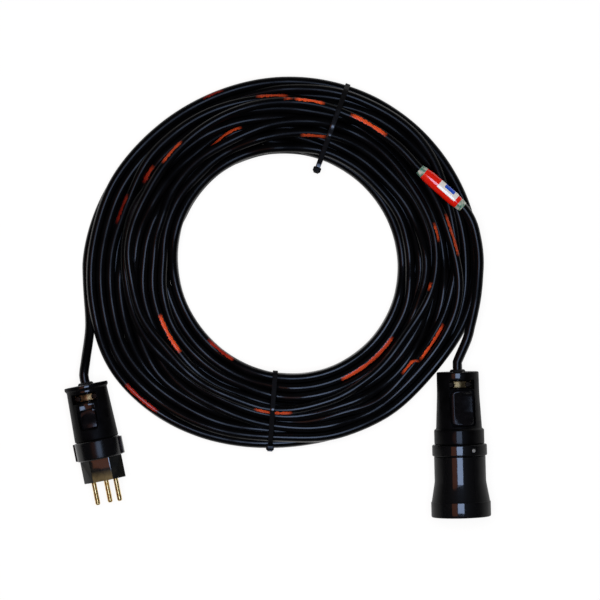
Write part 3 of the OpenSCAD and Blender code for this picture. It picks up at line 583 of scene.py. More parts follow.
def rolled(stations):
    """A bmesh of a closed sleeve about Z through stations, each a distance along and a
    function for its radius; the last station meets the first one. Its label_place attribute
    is the distance along and the distance round from the top, towards the coil's outside."""
    work = bmesh.new()
    place = work.verts.layers.float_vector.new("label_place")
    sides = 48
    bmesh.ops.create_circle(work, segments=sides, radius=1)
    ring, edges = work.verts[:], work.edges[:]
    for number, (along, radius) in enumerate(stations):
        if number:
            made = bmesh.ops.extrude_edge_only(work, edges=edges)
            ring = verts_of(made)
            edges = [part for part in made["geom"] if isinstance(part, bmesh.types.BMEdge)
                     and all(vert in ring for vert in part.verts)]
        for vert in ring:
            step = round(math.atan2(vert.co.y, vert.co.x) / (2 * math.pi) * sides) % sides
            way = 2 * math.pi * step / sides
            r = radius(along, way)
            vert.co = (r * math.cos(way), r * math.sin(way), along)
            vert[place] = (along, (math.pi - way) * label_r, 0)
    bmesh.ops.remove_doubles(work, verts=work.verts[:], dist=1e-7)
    face_out(work)
    return work


# Polypropylene film, printed, and laminated with a second film that gives it a hard gloss.
# The paper-fine print grain is drawn at 0.4 mm.
film, tree, shader = new_material("printed_film", {
    "IOR": 1.49, "Specular IOR Level": 0.3, "Coat IOR": 1.75, "Coat Roughness": 0.05})
turned_away = add_node(tree, "LayerWeight", {"Blend": 0.5})
shine = add_node(tree, "MapRange", {"Value": turned_away.outputs["Facing"],
                                    "From Min": 0.08, "From Max": 0.35, "To Min": 1,
                                    "To Max": 0})
tree.links.new(shine.outputs["Result"], shader.inputs["Coat Weight"])
spot = add_node(tree, "TexCoord").outputs["Object"]
label_spot = add_node(tree, "Attribute", attribute_name="label_place").outputs["Vector"]
parts = add_node(tree, "SeparateXYZ", {"Vector": label_spot})
wear_and_painted_sheen = add_node(tree, "TexNoise", {"Vector": spot, "Scale": 1 / (0.4 * mm), "Detail": 3})
colour = linear("#f5210e")
# Bands: along from, along to, round from, round to, all in millimetres, and their colour.
for a0, a1, r0, r1, ink in ((20, 39, -1.9, 11, "#fbfaf7"), (25, 35, 2.4, 12.5, "#1f56d8")):
    far = add_node(tree, "Math", {0: parts.outputs["X"], 1: (a0 + a1) / 2 * mm,
                                  2: (a1 - a0) / 2 * mm}, operation="COMPARE")
    wide = add_node(tree, "Math", {0: parts.outputs["Y"], 1: (r0 + r1) / 2 * mm,
                                   2: (r1 - r0) / 2 * mm}, operation="COMPARE")
    both = add_node(tree, "Math", {0: far.outputs[0], 1: wide.outputs[0]},
                    operation="MULTIPLY")
    colour = add_node(tree, "Mix", {"Factor": both.outputs[0], "A": colour, "B": linear(ink)},
                      data_type="RGBA").outputs["Result"]
faded = add_node(tree, "MapRange", {"Value": wear_and_painted_sheen.outputs["Fac"], "From Min": 0.3,
                                    "From Max": 0.7, "To Min": 0.9, "To Max": 1.06})
printed_colour = add_node(tree, "VectorMath", {0: colour, "Scale": faded.outputs["Result"]},
                          operation="SCALE")
tree.links.new(printed_colour.outputs["Vector"], shader.inputs["Base Color"])
gloss = add_node(tree, "MapRange", {"Value": wear_and_painted_sheen.outputs["Fac"], "To Min": 0.06,
                                    "To Max": 0.16})
tree.links.new(gloss.outputs["Result"], shader.inputs["Roughness"])

outside = [(along, label_surface) for along in np.linspace(0, label_l, 34)]
ends = [(label_l, lambda along, way: label_bore), (0, lambda along, way: label_bore)]
new_piece("rolled_label", rolled([ends[1], *outside, *ends]), label_place, film, "root",
          "label_film", "label_sleeve")


def mottled(name, sockets, cloud, dark, light, roughness, relief=None, marks=None,
            shaded=(0, 1), roughened=(0, 1)):
    """A material whose colour goes from dark to light over clouds of a real size, and whose
    roughness and relief follow its marks, or the same clouds. The cloud and the marks are a
    size, a detail and, where they are drawn out, a scale along each axis."""
    material, tree, shader = new_material(name, sockets)
    fields = []
    for size, detail, *drawn_out in filter(None, (cloud, marks)):
        spot = add_node(tree, "TexCoord").outputs["Object"]
        if drawn_out:
            spot = add_node(tree, "Mapping", {"Vector": spot, "Scale": drawn_out[0]})
            spot = spot.outputs["Vector"]
        field = add_node(tree, "TexNoise", {"Vector": spot, "Scale": 1 / size,
                                            "Detail": detail})
        fields.append(field.outputs["Fac"])
    shade = add_node(tree, "ValToRGB", {"Fac": fields[0]})
    low, high = shade.color_ramp.elements
    low.position, high.position = shaded
    low.color, high.color = linear(dark), linear(light)
    gloss = add_node(tree, "MapRange", {"Value": fields[-1], "From Min": roughened[0],
                                        "From Max": roughened[1], "To Min": roughness[0],
                                        "To Max": roughness[1]})
    tree.links.new(shade.outputs["Color"], shader.inputs["Base Color"])
    tree.links.new(gloss.outputs["Result"], shader.inputs["Roughness"])
    if relief:
        uneven = add_node(tree, "Bump", {"Height": fields[-1], "Strength": relief[0],
                                         "Distance": relief[1]})
        tree.links.new(uneven.outputs["Normal"], shader.inputs["Normal"])
    return material


def merge(work, part):
    """Adds a second bmesh to a bmesh."""
    mesh = bpy.data.meshes.new("part")
    part.to_mesh(mesh)
    part.free()
    work.from_mesh(mesh)
    bpy.data.meshes.remove(mesh)


# Clear tape, stretched on by hand: it has yellowed a little, and trapped air makes it pale.
tape = mottled("clear_tape", {"IOR": 1.47}, (3.2 * mm, 3), "#3f7f6c", "#cfd2c6", (0.12, 0.4),
               relief=(0.5, 0.2 * mm), shaded=(0.4, 0.66))
bands = bmesh.new()
for start in (0, label_l - tape_l):
    places = np.linspace(start, start + tape_l, 9)
    over = [(along, lambda along, way: label_surface(along, way) + tape_t)
            for along in places]
    under = [(along, lambda along, way: label_surface(along, way) - 0.02 * mm)
             for along in places[::-1]]
    merge(bands, rolled([*over, *under, over[0]]))
new_piece("stuck_tape_bands", bands, label_place, tape, "root", "clear_tape",
          "label_tape_bands")

# ---- Plug handle ----
# The plug's hollow handle, moulded in black rubber, with a lip round its rear end, a pocket
# for the cord clamp and a round-cornered recess for the thumb.
handle_end, spigot_end = 46.3, 51.5     # along the plug, in millimetres, as below
clamp_from, clamp_to, clamp_half_w, clamp_floor = 6.5, 14.5, 10.5, 3
clamp_middle = (clamp_from + clamp_to) / 2
clamp_screw_x = 7.2


def laid_down(place, yaw, roll):
    """Where a connector lies: its cord entry at a place, its axis level and turned from -Y,
    and rolled about its axis."""
    return (Matrix.Translation(place) @ Matrix.Rotation(math.radians(yaw), 4, "Z")
            @ Matrix.Rotation(math.radians(90), 4, "X")
            @ Matrix.Rotation(math.radians(roll), 4, "Z"))


def turned(outline, steps=96):
    """A bmesh of an outline turned about Z. A corner is its radius, its height and, where it
    is round, its rounding, in millimetres. An outline that stays off the axis is closed."""
    work = bmesh.new()
    corners = [work.verts.new((corner[0] * mm, 0, corner[1] * mm)) for corner in outline]
    closing = corners[:1] if outline[0][0] > 0 else []
    for a, b in zip(corners, corners[1:] + closing):
        work.edges.new((a, b))
    for vert, corner in zip(corners, outline):
        if len(corner) > 2:
            bmesh.ops.bevel(work, geom=[vert], offset=corner[2] * mm, segments=4, profile=0.5,
                            affect="VERTICES", material=-1)
    bmesh.ops.spin(work, geom=work.verts[:] + work.edges[:], cent=(0, 0, 0), axis=(0, 0, 1),
                   angle=2 * math.pi, steps=steps, use_merge=True)
    bmesh.ops.remove_doubles(work, verts=work.verts[:], dist=1e-7)
    face_out(work)
    return work


def bar(start, end, radius, sides=48):
    """A bmesh of a round bar between two points, in millimetres."""
    work = bmesh.new()
    start, end = Vector(start) * mm, Vector(end) * mm
    facing = (end - start).to_track_quat("Z", "Y").to_matrix().to_4x4()
    bmesh.ops.create_cone(work, cap_ends=True, segments=sides, radius1=radius * mm,
                          radius2=radius * mm, depth=(end - start).length,
                          matrix=Matrix.Translation((start + end) / 2) @ facing)
    return work


def upright(x, y, z, corner):
    """A bmesh of a block between two values each of x, y and z, in millimetres, with its
    upright edges, along y, rounded."""
    work = bmesh.new()
    block(work, (x[0] * mm, y[0] * mm, z[0] * mm), (x[1] * mm, y[1] * mm, z[1] * mm), 0)
    standing = [edge for edge in work.edges
                if abs(edge.verts[0].co.y - edge.verts[1].co.y) > mm / 2]
    soften(work, standing, corner * mm, 6)
    return work


def carve(work, *tools, operation="DIFFERENCE"):
    """Cuts other bmeshes out of a bmesh, or joins them to it with UNION."""
    solids = []
    for shape in (work, *tools):
        mesh = bpy.data.meshes.new("solid")
        shape.to_mesh(mesh)
        shape.free()
        solids.append(add_object("solid", mesh))
    for tool in solids[1:]:
        cut = solids[0].modifiers.new("cut", "BOOLEAN")
        cut.operation, cut.solver, cut.object = operation, "EXACT", tool
    depsgraph = bpy.context.evaluated_depsgraph_get()
    mesh = bpy.data.meshes.new_from_object(solids[0].evaluated_get(depsgraph))
    carved = bmesh.new()
    carved.from_mesh(mesh)
    bpy.data.meshes.remove(mesh)
    for solid in solids:
        bpy.data.meshes.remove(solid.data)
    bmesh.ops.remove_doubles(carved, verts=carved.verts[:], dist=1e-6)
    bmesh.ops.dissolve_degenerate(carved, edges=carved.edges[:], dist=1e-6)
    return carved


def rim_edges(work, x, y, z):
    """The sharp edges of a bmesh whose middles lie within values of x, y and z, in
    millimetres."""
    found = []
    for edge in work.edges:
        middle = (edge.verts[0].co + edge.verts[1].co) / 2 / mm
        if (edge.calc_face_angle(0) > 0.6 and x[0] < middle.x < x[1]
                and y[0] < middle.y < y[1] and z[0] < middle.z < z[1]):
            found.append(edge)
    return found


def handle_inside(radius, length):
    """A bmesh of the hollow in front of the cord clamp, flat under the thumb recess."""
    hollow = bar((0, 0, 16), (0, 0, length + 0.1), radius, sides=64)
    bmesh.ops.bisect_plane(hollow, geom=hollow.verts[:] + hollow.edges[:] + hollow.faces[:],
                           plane_co=(0, 9 * mm, 0), plane_no=(0, 1, 0), clear_outer=True)
    bmesh.ops.contextual_create(hollow, geom=[e for e in hollow.edges if e.is_boundary])
    face_out(hollow)
    return hollow


def opened(work, recess, mouth_r, mouth_end, inside_r, inside_end, *cuts):
    """A handle's bmesh with its openings cut: the thumb recess, the clamp's pocket and two
    screw holes, the mouth in front, the hollow behind it, the grommet's seat and the cord's
    way in; all in millimetres."""
    return carve(
        work, *cuts, upright(*recess, 3),
        upright((-clamp_half_w, clamp_half_w), (clamp_floor, 30), (clamp_from, clamp_to), 1),
        *(bar((x, -6.2, clamp_middle), (x, 4, clamp_middle), 1.55, sides=24)
          for x in (-clamp_screw_x, clamp_screw_x)),
        bar((0, 0, inside_end), (0, 0, mouth_end), mouth_r, sides=64),
        handle_inside(inside_r, inside_end),
        bar((0, 0, -1), (0, 0, 3.2), 7.4, sides=64), bar((0, 0, -1), (0, 0, 16.1), 4.4))


plug_place = laid_down(plug_at, plug_yaw, plug_roll)
coupler_place = laid_down(coupler_at, coupler_yaw, coupler_roll)

# Rubber, moulded and vulcanised: black and nearly matte, with a faint bloom over a fine
# orange-peel skin of about 1 mm, and polished by handling at the rear ends, behind the
# plug's recess and a little on the coupler's step.
moulded_rubber, tree, shader = new_material("moulded_rubber", {
    "IOR": 1.55, "Specular IOR Level": 0.06, "Coat IOR": 1.6, "Coat Roughness": 0.1})
spot = add_node(tree, "TexCoord").outputs["Object"]
bloom = add_node(tree, "TexNoise", {"Vector": spot, "Scale": 1 / (9 * mm), "Detail": 4})
peel = add_node(tree, "TexNoise", {"Vector": spot, "Scale": 1 / (1.0 * mm), "Detail": 2})
black = add_node(tree, "ValToRGB", {"Fac": bloom.outputs["Fac"]})
black.color_ramp.elements[0].position, black.color_ramp.elements[1].position = 0.35, 0.8
black.color_ramp.elements[0].color = linear("#040405")
black.color_ramp.elements[1].color = linear("#0a0a0c")
gloss = add_node(tree, "MapRange", {"Value": bloom.outputs["Fac"], "From Min": 0.3,
                                    "From Max": 0.7, "To Min": 0.4, "To Max": 0.52})
relief = add_node(tree, "Bump", {"Height": peel.outputs["Fac"], "Strength": 0.1,
                                 "Distance": 0.15 * mm})
polish = 0
for held, point, reach, share in (
        (plug_place, (2, 17.6, 2.5), 6, 1), (plug_place, (1, 15.8, 18.6), 7, 1),
        (coupler_place, (-3.5, 17, 3), 6.5, 1), (coupler_place, (-3.2, 20.6, 54), 8, 0.3)):
    away = add_node(tree, "VectorMath", {0: spot, 1: held @ (Vector(point) * mm)},
                    operation="DISTANCE")
    rubbed_and_painted_sheen = add_node(tree, "MapRange", {"Value": away.outputs["Value"],
                                         "From Min": (reach - 2) * mm, "From Max": reach * mm,
                                         "To Min": share, "To Max": 0})
    polish = add_node(tree, "Math", {0: rubbed_and_painted_sheen.outputs["Result"], 1: polish},
                      operation="MAXIMUM").outputs[0]
tree.links.new(polish, shader.inputs["Coat Weight"])
tree.links.new(black.outputs["Color"], shader.inputs["Base Color"])
tree.links.new(gloss.outputs["Result"], shader.inputs["Roughness"])
tree.links.new(relief.outputs["Normal"], shader.inputs["Normal"])

work = turned([(0, 0), (18.3, 0, 0.9), (18.3, 2.6, 0.6), (17, 4.05, 0.8),
               (18.4, handle_end, 1.1), (15.5, handle_end), (15.5, spigot_end, 0.4),
               (0, spigot_end)])
groove = bar((3.1, 42, 16.8), (3.1, 42, 21.2), 26.6, sides=192)
work = opened(work, ((-7.5, 7.5), (11, 30), (21, 37)), 13, spigot_end + 1, 13.65, handle_end,
              groove)
soften(work, rim_edges(work, (-8, 8), (13.5, 19), (20, 38)), 0.7 * mm, 3)
soften(work, rim_edges(work, (-11, 11), (11, 18), (6, 15)), 0.4 * mm, 2)
plug_pieces = [new_piece("moulded_plug_handle", work, plug_place, moulded_rubber, "root",
                         "connector_rubber", "plug_handle_shell")]

# ---- Cord clamp and grommet ----
# A steel bar, pressed and yellow-passivated, holds the cord down in the handle's pocket with
# two blackened pan-headed screws. A soft rubber grommet lines the cord's way in.
bridge_under, bridge_t, bridge_w, bridge_l = 4.2, 2.2, 20, 6
screw_head_h, screw_slot_w = 1.9, 0.8


def clamp_bridge():
    """A bmesh of the clamp's bar, with its edges rounded and a low hump over the cord."""
    work = bmesh.new()
    block(work, (-bridge_w / 2 * mm, bridge_under * mm, (clamp_middle - bridge_l / 2) * mm),
          (bridge_w / 2 * mm, (bridge_under + bridge_t) * mm,
           (clamp_middle + bridge_l / 2) * mm), 0.6 * mm)
    lengthwise = [e for e in work.edges if abs(e.verts[0].co.x - e.verts[1].co.x) > 5 * mm]
    bmesh.ops.subdivide_edges(work, edges=lengthwise, cuts=24, use_grid_fill=True)
    for vert in work.verts:
        if vert.co.y > (bridge_under + 1) * mm:
            vert.co.y += 0.7 * mm * math.exp(-(vert.co.x / (3.4 * mm)) ** 2)
    return work


def clamp_screws():
    """A bmesh of the clamp's two screws, in one."""
    both = bmesh.new()
    for x in (-clamp_screw_x, clamp_screw_x):
        work = turned([(0, -12.4), (1.5, -12.4, 0.3), (1.5, 0), (2.8, 0, 0.3),
                       (2.8, screw_head_h, 1.1), (0, screw_head_h)], steps=48)
        slot_tool = bmesh.new()
        block(slot_tool, (-4 * mm, -screw_slot_w / 2 * mm, (screw_head_h - 0.9) * mm),
              (4 * mm, screw_slot_w / 2 * mm, 4 * mm), 0)
        work = carve(work, slot_tool)
        work.transform(Matrix.Translation((x * mm, (bridge_under + bridge_t) * mm,
                                           clamp_middle * mm))
                       @ Matrix.Rotation(math.radians(-90), 4, "X")
                       @ Matrix.Rotation(math.radians(25 * x), 4, "Z"))
        merge(both, work)
    return both


def grommet():
    """A bmesh of the rubber sleeve round the cord at a handle's rear end."""
    return turned([(4.15, -2, 0.4), (5.5, -2, 0.5), (6.5, -0.8, 0.4), (6.5, 0), (7.3, 0),
                   (7.3, 3.2), (4.15, 3.2)])


def finish_node(material, *nodes):
    """Gives its material to solids that show as they are."""
    for name in nodes:
        for place in bpy.data.objects[name].material_slots:
            place.material = material


# Steel, pressed, galvanised and yellow-passivated: straw to brown in cloudy patches, with a
# soft shine. The rolling lines of about 0.05 mm are drawn at 0.3 mm.
passivated = mottled("passivated_steel", {"Metallic": 1}, (3 * mm, 4), "#6f5632", "#b79c6c",
                     (0.3, 0.5), relief=(0.15, 0.05 * mm), marks=(0.3 * mm, 3, (0.1, 1, 1)),
                     shaded=(0.35, 0.65))

# Screw steel, blackened in oil: dark brown-grey, matt, and a little uneven.
blackened = mottled("blackened_steel", {"Metallic": 1}, (0.8 * mm, 3), "#1b1714", "#3d342b",
                    (0.35, 0.55))

# Soft rubber, moulded: a matte charcoal with a dusty bloom.
soft_rubber = mottled("soft_rubber", {"IOR": 1.5, "Specular IOR Level": 0.35}, (2.5 * mm, 4),
                      "#0c0c0d", "#1d1d1f", (0.5, 0.7))


def cord_entry(side, place):
    """The clamp's bar, its screws and the grommet of one connector."""
    return [new_piece(side + "_clamp_bar", clamp_bridge(), place, passivated, "root",
                      "plated_steel", side + "_clamp_bridge"),
            new_piece(side + "_pan_screws", clamp_screws(), place, blackened, "root",
                      "plated_steel", side + "_clamp_screws"),
            new_piece(side + "_cord_grommet", grommet(), place, soft_rubber, "root",
                      "soft_rubber", side + "_grommet")]


plug_pieces += cord_entry("plug", plug_place)

# ---- Plug thumb pad ----
# A pad of the same rubber in the thumb recess. It slopes up from the rear and ends in a level
# land, and it is bare.
pad_floor = 11.05


def thumb_pad(half_w, z_from, z_to, top):
    """A bmesh of a pad in a thumb recess, with rounded corners, whose upper side stands at
    top(x, z); all in millimetres."""
    work = bmesh.new()
    bmesh.ops.create_grid(work, x_segments=64, y_segments=64, size=1)
    made = bmesh.ops.extrude_face_region(work, geom=work.faces[:], use_keep_orig=True)
    sunk = set(verts_of(made))
    middle, half_l = (z_from + z_to) / 2, (z_to - z_from) / 2
    for vert in work.verts:
        across, along = vert.co.x, vert.co.y
        x = half_w * across * math.sqrt(1 - 0.22 * along ** 6)
        z = middle + half_l * along * math.sqrt(1 - 0.22 * across ** 6)
        rounded = 0.8 * ease((max(abs(across), abs(along)) - 0.88) / 0.12) ** 2
        y = pad_floor if vert in sunk else max(pad_floor + 0.1, top(x, z) - rounded)
        vert.co = (x * mm, y * mm, z * mm)
    face_out(work)
    return work


def plug_pad_top(x, z):
    """The plug's pad slopes up from the rear to a level land, and is a little crowned."""
    return 14.45 - 3.3 * (1 - ease((z - 21.8) / 12.5)) - x * x / 48


# The pad's rubber is denser than the handle's and takes more polish from the mould.
polished_rubber = mottled("polished_rubber", {"IOR": 1.55, "Specular IOR Level": 0.3},
                          (4 * mm, 3), "#050507", "#0f0e12", (0.2, 0.34),
                          relief=(0.2, 0.1 * mm), roughened=(0.3, 0.7))
plug_pieces.append(new_piece("plug_thumb_pad", thumb_pad(6.7, 21.8, 36.2, plug_pad_top),
                             plug_place, polished_rubber, "root", "gloss_inlay",
                             "plug_thumb_plate"))

# ---- Plug union ring ----
# The ring that holds the plug's front to its handle turns by 30 degrees in a bayonet. It is
# moulded in nylon, has a thumb lug on each side, and turns on the handle's spigot.
lug_from, lug_to, lug_half_w = (18.6, 47.2), (20.9, 61.7), 2.5      # out and along
work = turned([(15.8, 46.6, 0.2), (19.3, 46.6, 1.1), (19.3, 62.3, 1.1), (17.7, 62.3, 0.2),
               (17.7, 59.7), (15.8, 59.7)], steps=128)
for side in (-1, 1):
    near, far = sorted((side * lug_from[0] * mm, side * lug_to[0] * mm))
    block(work, (near, -lug_half_w * mm, lug_from[1] * mm),
          (far, lug_half_w * mm, lug_to[1] * mm), 0.6 * mm)

# Nylon, moulded in a polished mould: black under a clear hard gloss that dies away where
# the surface turns from the eye, with faint flow marks of about 6 mm and a few fine
# scratches, drawn at 0.2 mm.
gloss_nylon, tree, shader = new_material("gloss_nylon", {
    "IOR": 1.53, "Specular IOR Level": 0.1, "Coat IOR": 1.7, "Coat Roughness": 0.07})
spot = add_node(tree, "TexCoord").outputs["Object"]
flow = add_node(tree, "TexNoise", {"Vector": spot, "Scale": 1 / (6 * mm), "Detail": 3,
                                   "Distortion": 0.8})
scratch_way = add_node(tree, "Mapping", {"Vector": spot, "Scale": (1, 0.06, 1)})
scratches = add_node(tree, "TexNoise", {"Vector": scratch_way.outputs["Vector"],
                                        "Scale": 1 / (0.2 * mm), "Detail": 2})
black = add_node(tree, "ValToRGB", {"Fac": flow.outputs["Fac"]})
black.color_ramp.elements[0].color = linear("#030304")
black.color_ramp.elements[1].color = linear("#08080a")
gloss = add_node(tree, "MapRange", {"Value": scratches.outputs["Fac"], "From Min": 0.3,
                                    "From Max": 0.7, "To Min": 0.35, "To Max": 0.5})
turned_away = add_node(tree, "LayerWeight", {"Blend": 0.5})
shine = add_node(tree, "MapRange", {"Value": turned_away.outputs["Facing"],
                                    "From Min": 0.05, "From Max": 0.3, "To Min": 1,
                                    "To Max": 0})
tree.links.new(shine.outputs["Result"], shader.inputs["Coat Weight"])
waves = add_node(tree, "Bump", {"Height": flow.outputs["Fac"], "Strength": 0.25,
                                "Distance": 0.2 * mm})
tree.links.new(black.outputs["Color"], shader.inputs["Base Color"])
tree.links.new(gloss.outputs["Result"], shader.inputs["Roughness"])
tree.links.new(waves.outputs["Normal"], shader.inputs["Normal"])
tree.links.new(waves.outputs["Normal"], shader.inputs["Coat Normal"])

# The plug's own ring came from a sandblasted mould: the same nylon, only satin.
satin_nylon = mottled("satin_nylon", {"IOR": 1.53, "Specular IOR Level": 0.25}, (0.5 * mm, 3),
                      "#050506", "#0f0f12", (0.18, 0.3), relief=(0.12, 0.06 * mm))
plug_pieces.append(new_piece("plug_bayonet_ring", work, plug_place, satin_nylon, "plug_ring",
                             "ring_plastic", "plug_union_ring"))

# ---- Plug front, seal and pins ----
# The six-sided front is one thermoset moulding that carries three brass pins, each with a
# terminal barrel behind for its core. A flat seal lies between it and the handle.
pin_places = ((-9.5, 2), (9.5, 2), (0, -3))
nose_from, nose_l = 62.45, 18.85
nose_half_w, flat_half_w, nose_half_h = 18.2, 8.4, 7
work = bmesh.new()
nose = work.faces.new([work.verts.new((x * mm, y * mm, nose_from * mm)) for x, y in (
    (nose_half_w, 0), (flat_half_w, nose_half_h), (-flat_half_w, nose_half_h),
    (-nose_half_w, 0), (-flat_half_w, -nose_half_h), (flat_half_w, -nose_half_h))])
extrude(work, [nose], (0, 0, nose_l * mm))
soften(work, [e for e in work.edges if abs(e.verts[0].co.z - e.verts[1].co.z) > mm],
       0.5 * mm)
soften(work, [e for e in work.edges if e.calc_face_angle(0) > 1
              and min(v.co.z for v in e.verts) > (nose_from + nose_l - 0.3) * mm], 0.4 * mm)
flange = turned([(0, 52.5), (15.5, 52.5), (15.5, 60), (17.4, 60), (17.4, 62.6, 0.3),
                 (0, 62.6)])

# Phenolic resin, pressed with a dark filler: brown-black under a hard gloss, clouded over
# about 5 mm, with a painted olive-brown highlight towards the front of its two broad flats.
phenolic, tree, shader = new_material("pressed_phenolic", {
    "IOR": 1.63, "Specular IOR Level": 0.2, "Coat IOR": 1.85, "Coat Roughness": 0.08})
spot = add_node(tree, "TexCoord").outputs["Object"]
clouded = add_node(tree, "TexNoise", {"Vector": spot, "Scale": 1 / (5 * mm), "Detail": 4})
brown = add_node(tree, "ValToRGB", {"Fac": clouded.outputs["Fac"]})
brown.color_ramp.elements[0].position, brown.color_ramp.elements[1].position = 0.35, 0.65
brown.color_ramp.elements[0].color = linear("#060605")
brown.color_ramp.elements[1].color = linear("#14130e")
front_way = plug_place.to_3x3() @ Vector((0, 0, 1))
along = add_node(tree, "VectorMath", {0: spot, 1: front_way}, operation="DOT_PRODUCT")
front_at = front_way.dot(plug_place @ Vector((0, 0, (nose_from + nose_l) * mm)))
side_way = plug_place.to_3x3() @ Vector((1, 0, 0))
across = add_node(tree, "VectorMath", {0: spot, 1: side_way}, operation="DOT_PRODUCT")
axis_at = side_way.dot(plug_place.translation)
on_flat = add_node(tree, "Math", {0: across.outputs["Value"], 1: axis_at,
                                  2: (flat_half_w + 0.2) * mm}, operation="COMPARE")
# Painted highlight: olive brown laid in patches on the two broad flats, rising towards the
# front.
wear_and_painted_sheen = add_node(tree, "MapRange", {"Value": along.outputs["Value"],
                                   "From Min": front_at - 9 * mm,
                                   "From Max": front_at - 1 * mm, "To Min": 0,
                                   "To Max": on_flat.outputs[0]})
wear_and_painted_sheen = add_node(tree, "Math", {0: wear_and_painted_sheen.outputs["Result"], 1: clouded.outputs["Fac"]},
                operation="MULTIPLY")
rubbed_and_painted_sheen = add_node(tree, "Mix", {"Factor": wear_and_painted_sheen.outputs[0], "A": brown.outputs["Color"],
                                "B": linear("#a08c60")}, data_type="RGBA")
turned_away = add_node(tree, "LayerWeight", {"Blend": 0.5})
shine = add_node(tree, "MapRange", {"Value": turned_away.outputs["Facing"],
                                    "From Min": 0.05, "From Max": 0.3, "To Min": 1,
                                    "To Max": 0})
fine = add_node(tree, "TexNoise", {"Vector": spot, "Scale": 1 / (1.2 * mm), "Detail": 2})
dull = add_node(tree, "MapRange", {"Value": fine.outputs["Fac"], "To Min": 0.3,
                                   "To Max": 0.5})
tree.links.new(rubbed_and_painted_sheen.outputs["Result"], shader.inputs["Base Color"])
tree.links.new(dull.outputs["Result"], shader.inputs["Roughness"])
tree.links.new(shine.outputs["Result"], shader.inputs["Coat Weight"])
work = carve(flange, work, operation="UNION")
work = carve(work, *(bar((x, y, 52), (x, y, end), radius, sides=32) for x, y in pin_places
                     for end, radius in ((54.5, 3.05), (82, 2.45))))
plug_pieces.append(new_piece("plug_front", work, plug_place, phenolic, "root",
                             "carrier_plastic", "plug_pin_carrier"))

# Silicone, punched from sheet: a matte red-brown with a chalky bloom.
silicone = mottled("silicone_sheet", {"IOR": 1.43}, (1.5 * mm, 3), "#6d2a20", "#8f4536",
                   (0.55, 0.8))

# Brass, turned from bar: warm and bright, with turning marks, drawn at 0.25 mm, and a thin
# brown tarnish in patches.
brass = mottled("turned_brass", {"Metallic": 1}, (2.5 * mm, 4), "#b8924e", "#e3c98c",
                (0.16, 0.36), relief=(0.2, 0.03 * mm), marks=(0.25 * mm, 2, (0.08, 1, 0.08)),
                shaded=(0.38, 0.62))
plug_pins = ["plug_pin_line", "plug_pin_neutral", "plug_pin_earth"]
finish_node(silicone, "plug_seal", "coupler_seal")
finish_node(brass, *plug_pins)
finish_node(passivated, "plug_terminal_screws", "coupler_terminal_screws",
            "coupler_insert_screws")
plug_pieces += ["plug_seal", "plug_terminal_screws", *plug_pins]

# ---- Cores ----
# Three insulated copper cores run from the jacket's end to the terminals in each connector.
# PVC, extruded: smooth and waxy, in brown, in blue, and in green with yellow stripes 1 mm
# wide along it.
for core, name, dark, light in (("line", "brown_pvc", "#4a2412", "#5c3018"),
                                ("neutral", "blue_pvc", "#1c4fa8", "#2a62bd"),
                                ("earth", "striped_pvc", "#2e7d34", "#d8cf2a")):
    pvc, tree, shader = new_material(name, {"IOR": 1.54})
    spot = add_node(tree, "TexCoord").outputs["Object"]
    if core == "earth":
        stripes = add_node(tree, "TexWave", {"Vector": spot, "Scale": 0.314 / (2 * mm)},
                           bands_direction="X")
        shade = add_node(tree, "ValToRGB", {"Fac": stripes.outputs["Fac"]})
        shade.color_ramp.interpolation = "CONSTANT"
        shade.color_ramp.elements[1].position = 0.5
    else:
        waxy = add_node(tree, "TexNoise", {"Vector": spot, "Scale": 1 / (4 * mm)})
        shade = add_node(tree, "ValToRGB", {"Fac": waxy.outputs["Fac"]})
    shade.color_ramp.elements[0].color = linear(dark)
    shade.color_ramp.elements[1].color = linear(light)
    skin = add_node(tree, "TexNoise", {"Vector": spot, "Scale": 1 / (0.6 * mm)})
    gloss = add_node(tree, "MapRange", {"Value": skin.outputs["Fac"], "To Min": 0.25,
                                        "To Max": 0.4})
    tree.links.new(shade.outputs["Color"], shader.inputs["Base Color"])
    tree.links.new(gloss.outputs["Result"], shader.inputs["Roughness"])
    finish_node(pvc, "plug_core_" + core, "coupler_core_" + core)
    plug_pieces.append("plug_core_" + core)

# ---- Coupler handle ----
# The coupler's handle, moulded in the same rubber as the plug's, with a step up to a collar
# in front, the same cord clamp and grommet behind, and a longer thumb recess.
work = turned([(0, 0), (17.5, 0, 1.1), (17.6, 18, 3), (19.1, 47, 0.8), (20.8, 48, 0.9),
               (20.8, 60, 0.9), (18.6, 60), (18.6, 64.5, 0.3), (0, 64.5)], steps=128)
work = opened(work, ((-10.5, 10.5), (11, 30), (14.7, 45.2)), 16, 65, 14.5, 47)
soften(work, rim_edges(work, (-11, 11), (13, 19.5), (14.6, 46)), 0.5 * mm, 3)
soften(work, rim_edges(work, (-11, 11), (11, 18), (6, 15)), 0.3 * mm, 2)
new_piece("moulded_coupler_handle", work, coupler_place, moulded_rubber, "root",
          "connector_rubber", "coupler_handle_shell")
cord_entry("coupler", coupler_place)


def coupler_pad_top(x, z):
    """The coupler's pad follows the handle's round and has a dish for the thumb, steep
    behind and on the left and rising to the front."""
    aside = max(0, 1 - ((x - 1.7) / 8.8) ** 2)
    along = ease((z - 15.4) / 5) * min(1, (43 - z) / 10)
    return math.sqrt((17 + 0.05 * (z - 15)) ** 2 - x * x) - 3.6 * aside * max(0, along)


new_piece("coupler_thumb_pad", thumb_pad(9.7, 15.4, 44.4, coupler_pad_top), coupler_place,
          polished_rubber, "root", "gloss_inlay", "coupler_thumb_plate")

# ---- Coupler union ring ----
# The coupler's bayonet ring, of glossy nylon where the plug's is satin, with a raised grey
# dot that shows how far it is turned.
ring_r, dot_r, dot_way = 22.8, 1.6, math.radians(72)
work = turned([(18.9, 60.3, 0.2), (ring_r, 60.3, 1.1), (ring_r, 69.7, 1.1),
               (18.9, 69.7, 0.2)], steps=128)
new_piece("coupler_bayonet_ring", work, coupler_place, gloss_nylon, "coupler_ring",
          "ring_plastic", "coupler_union_ring")

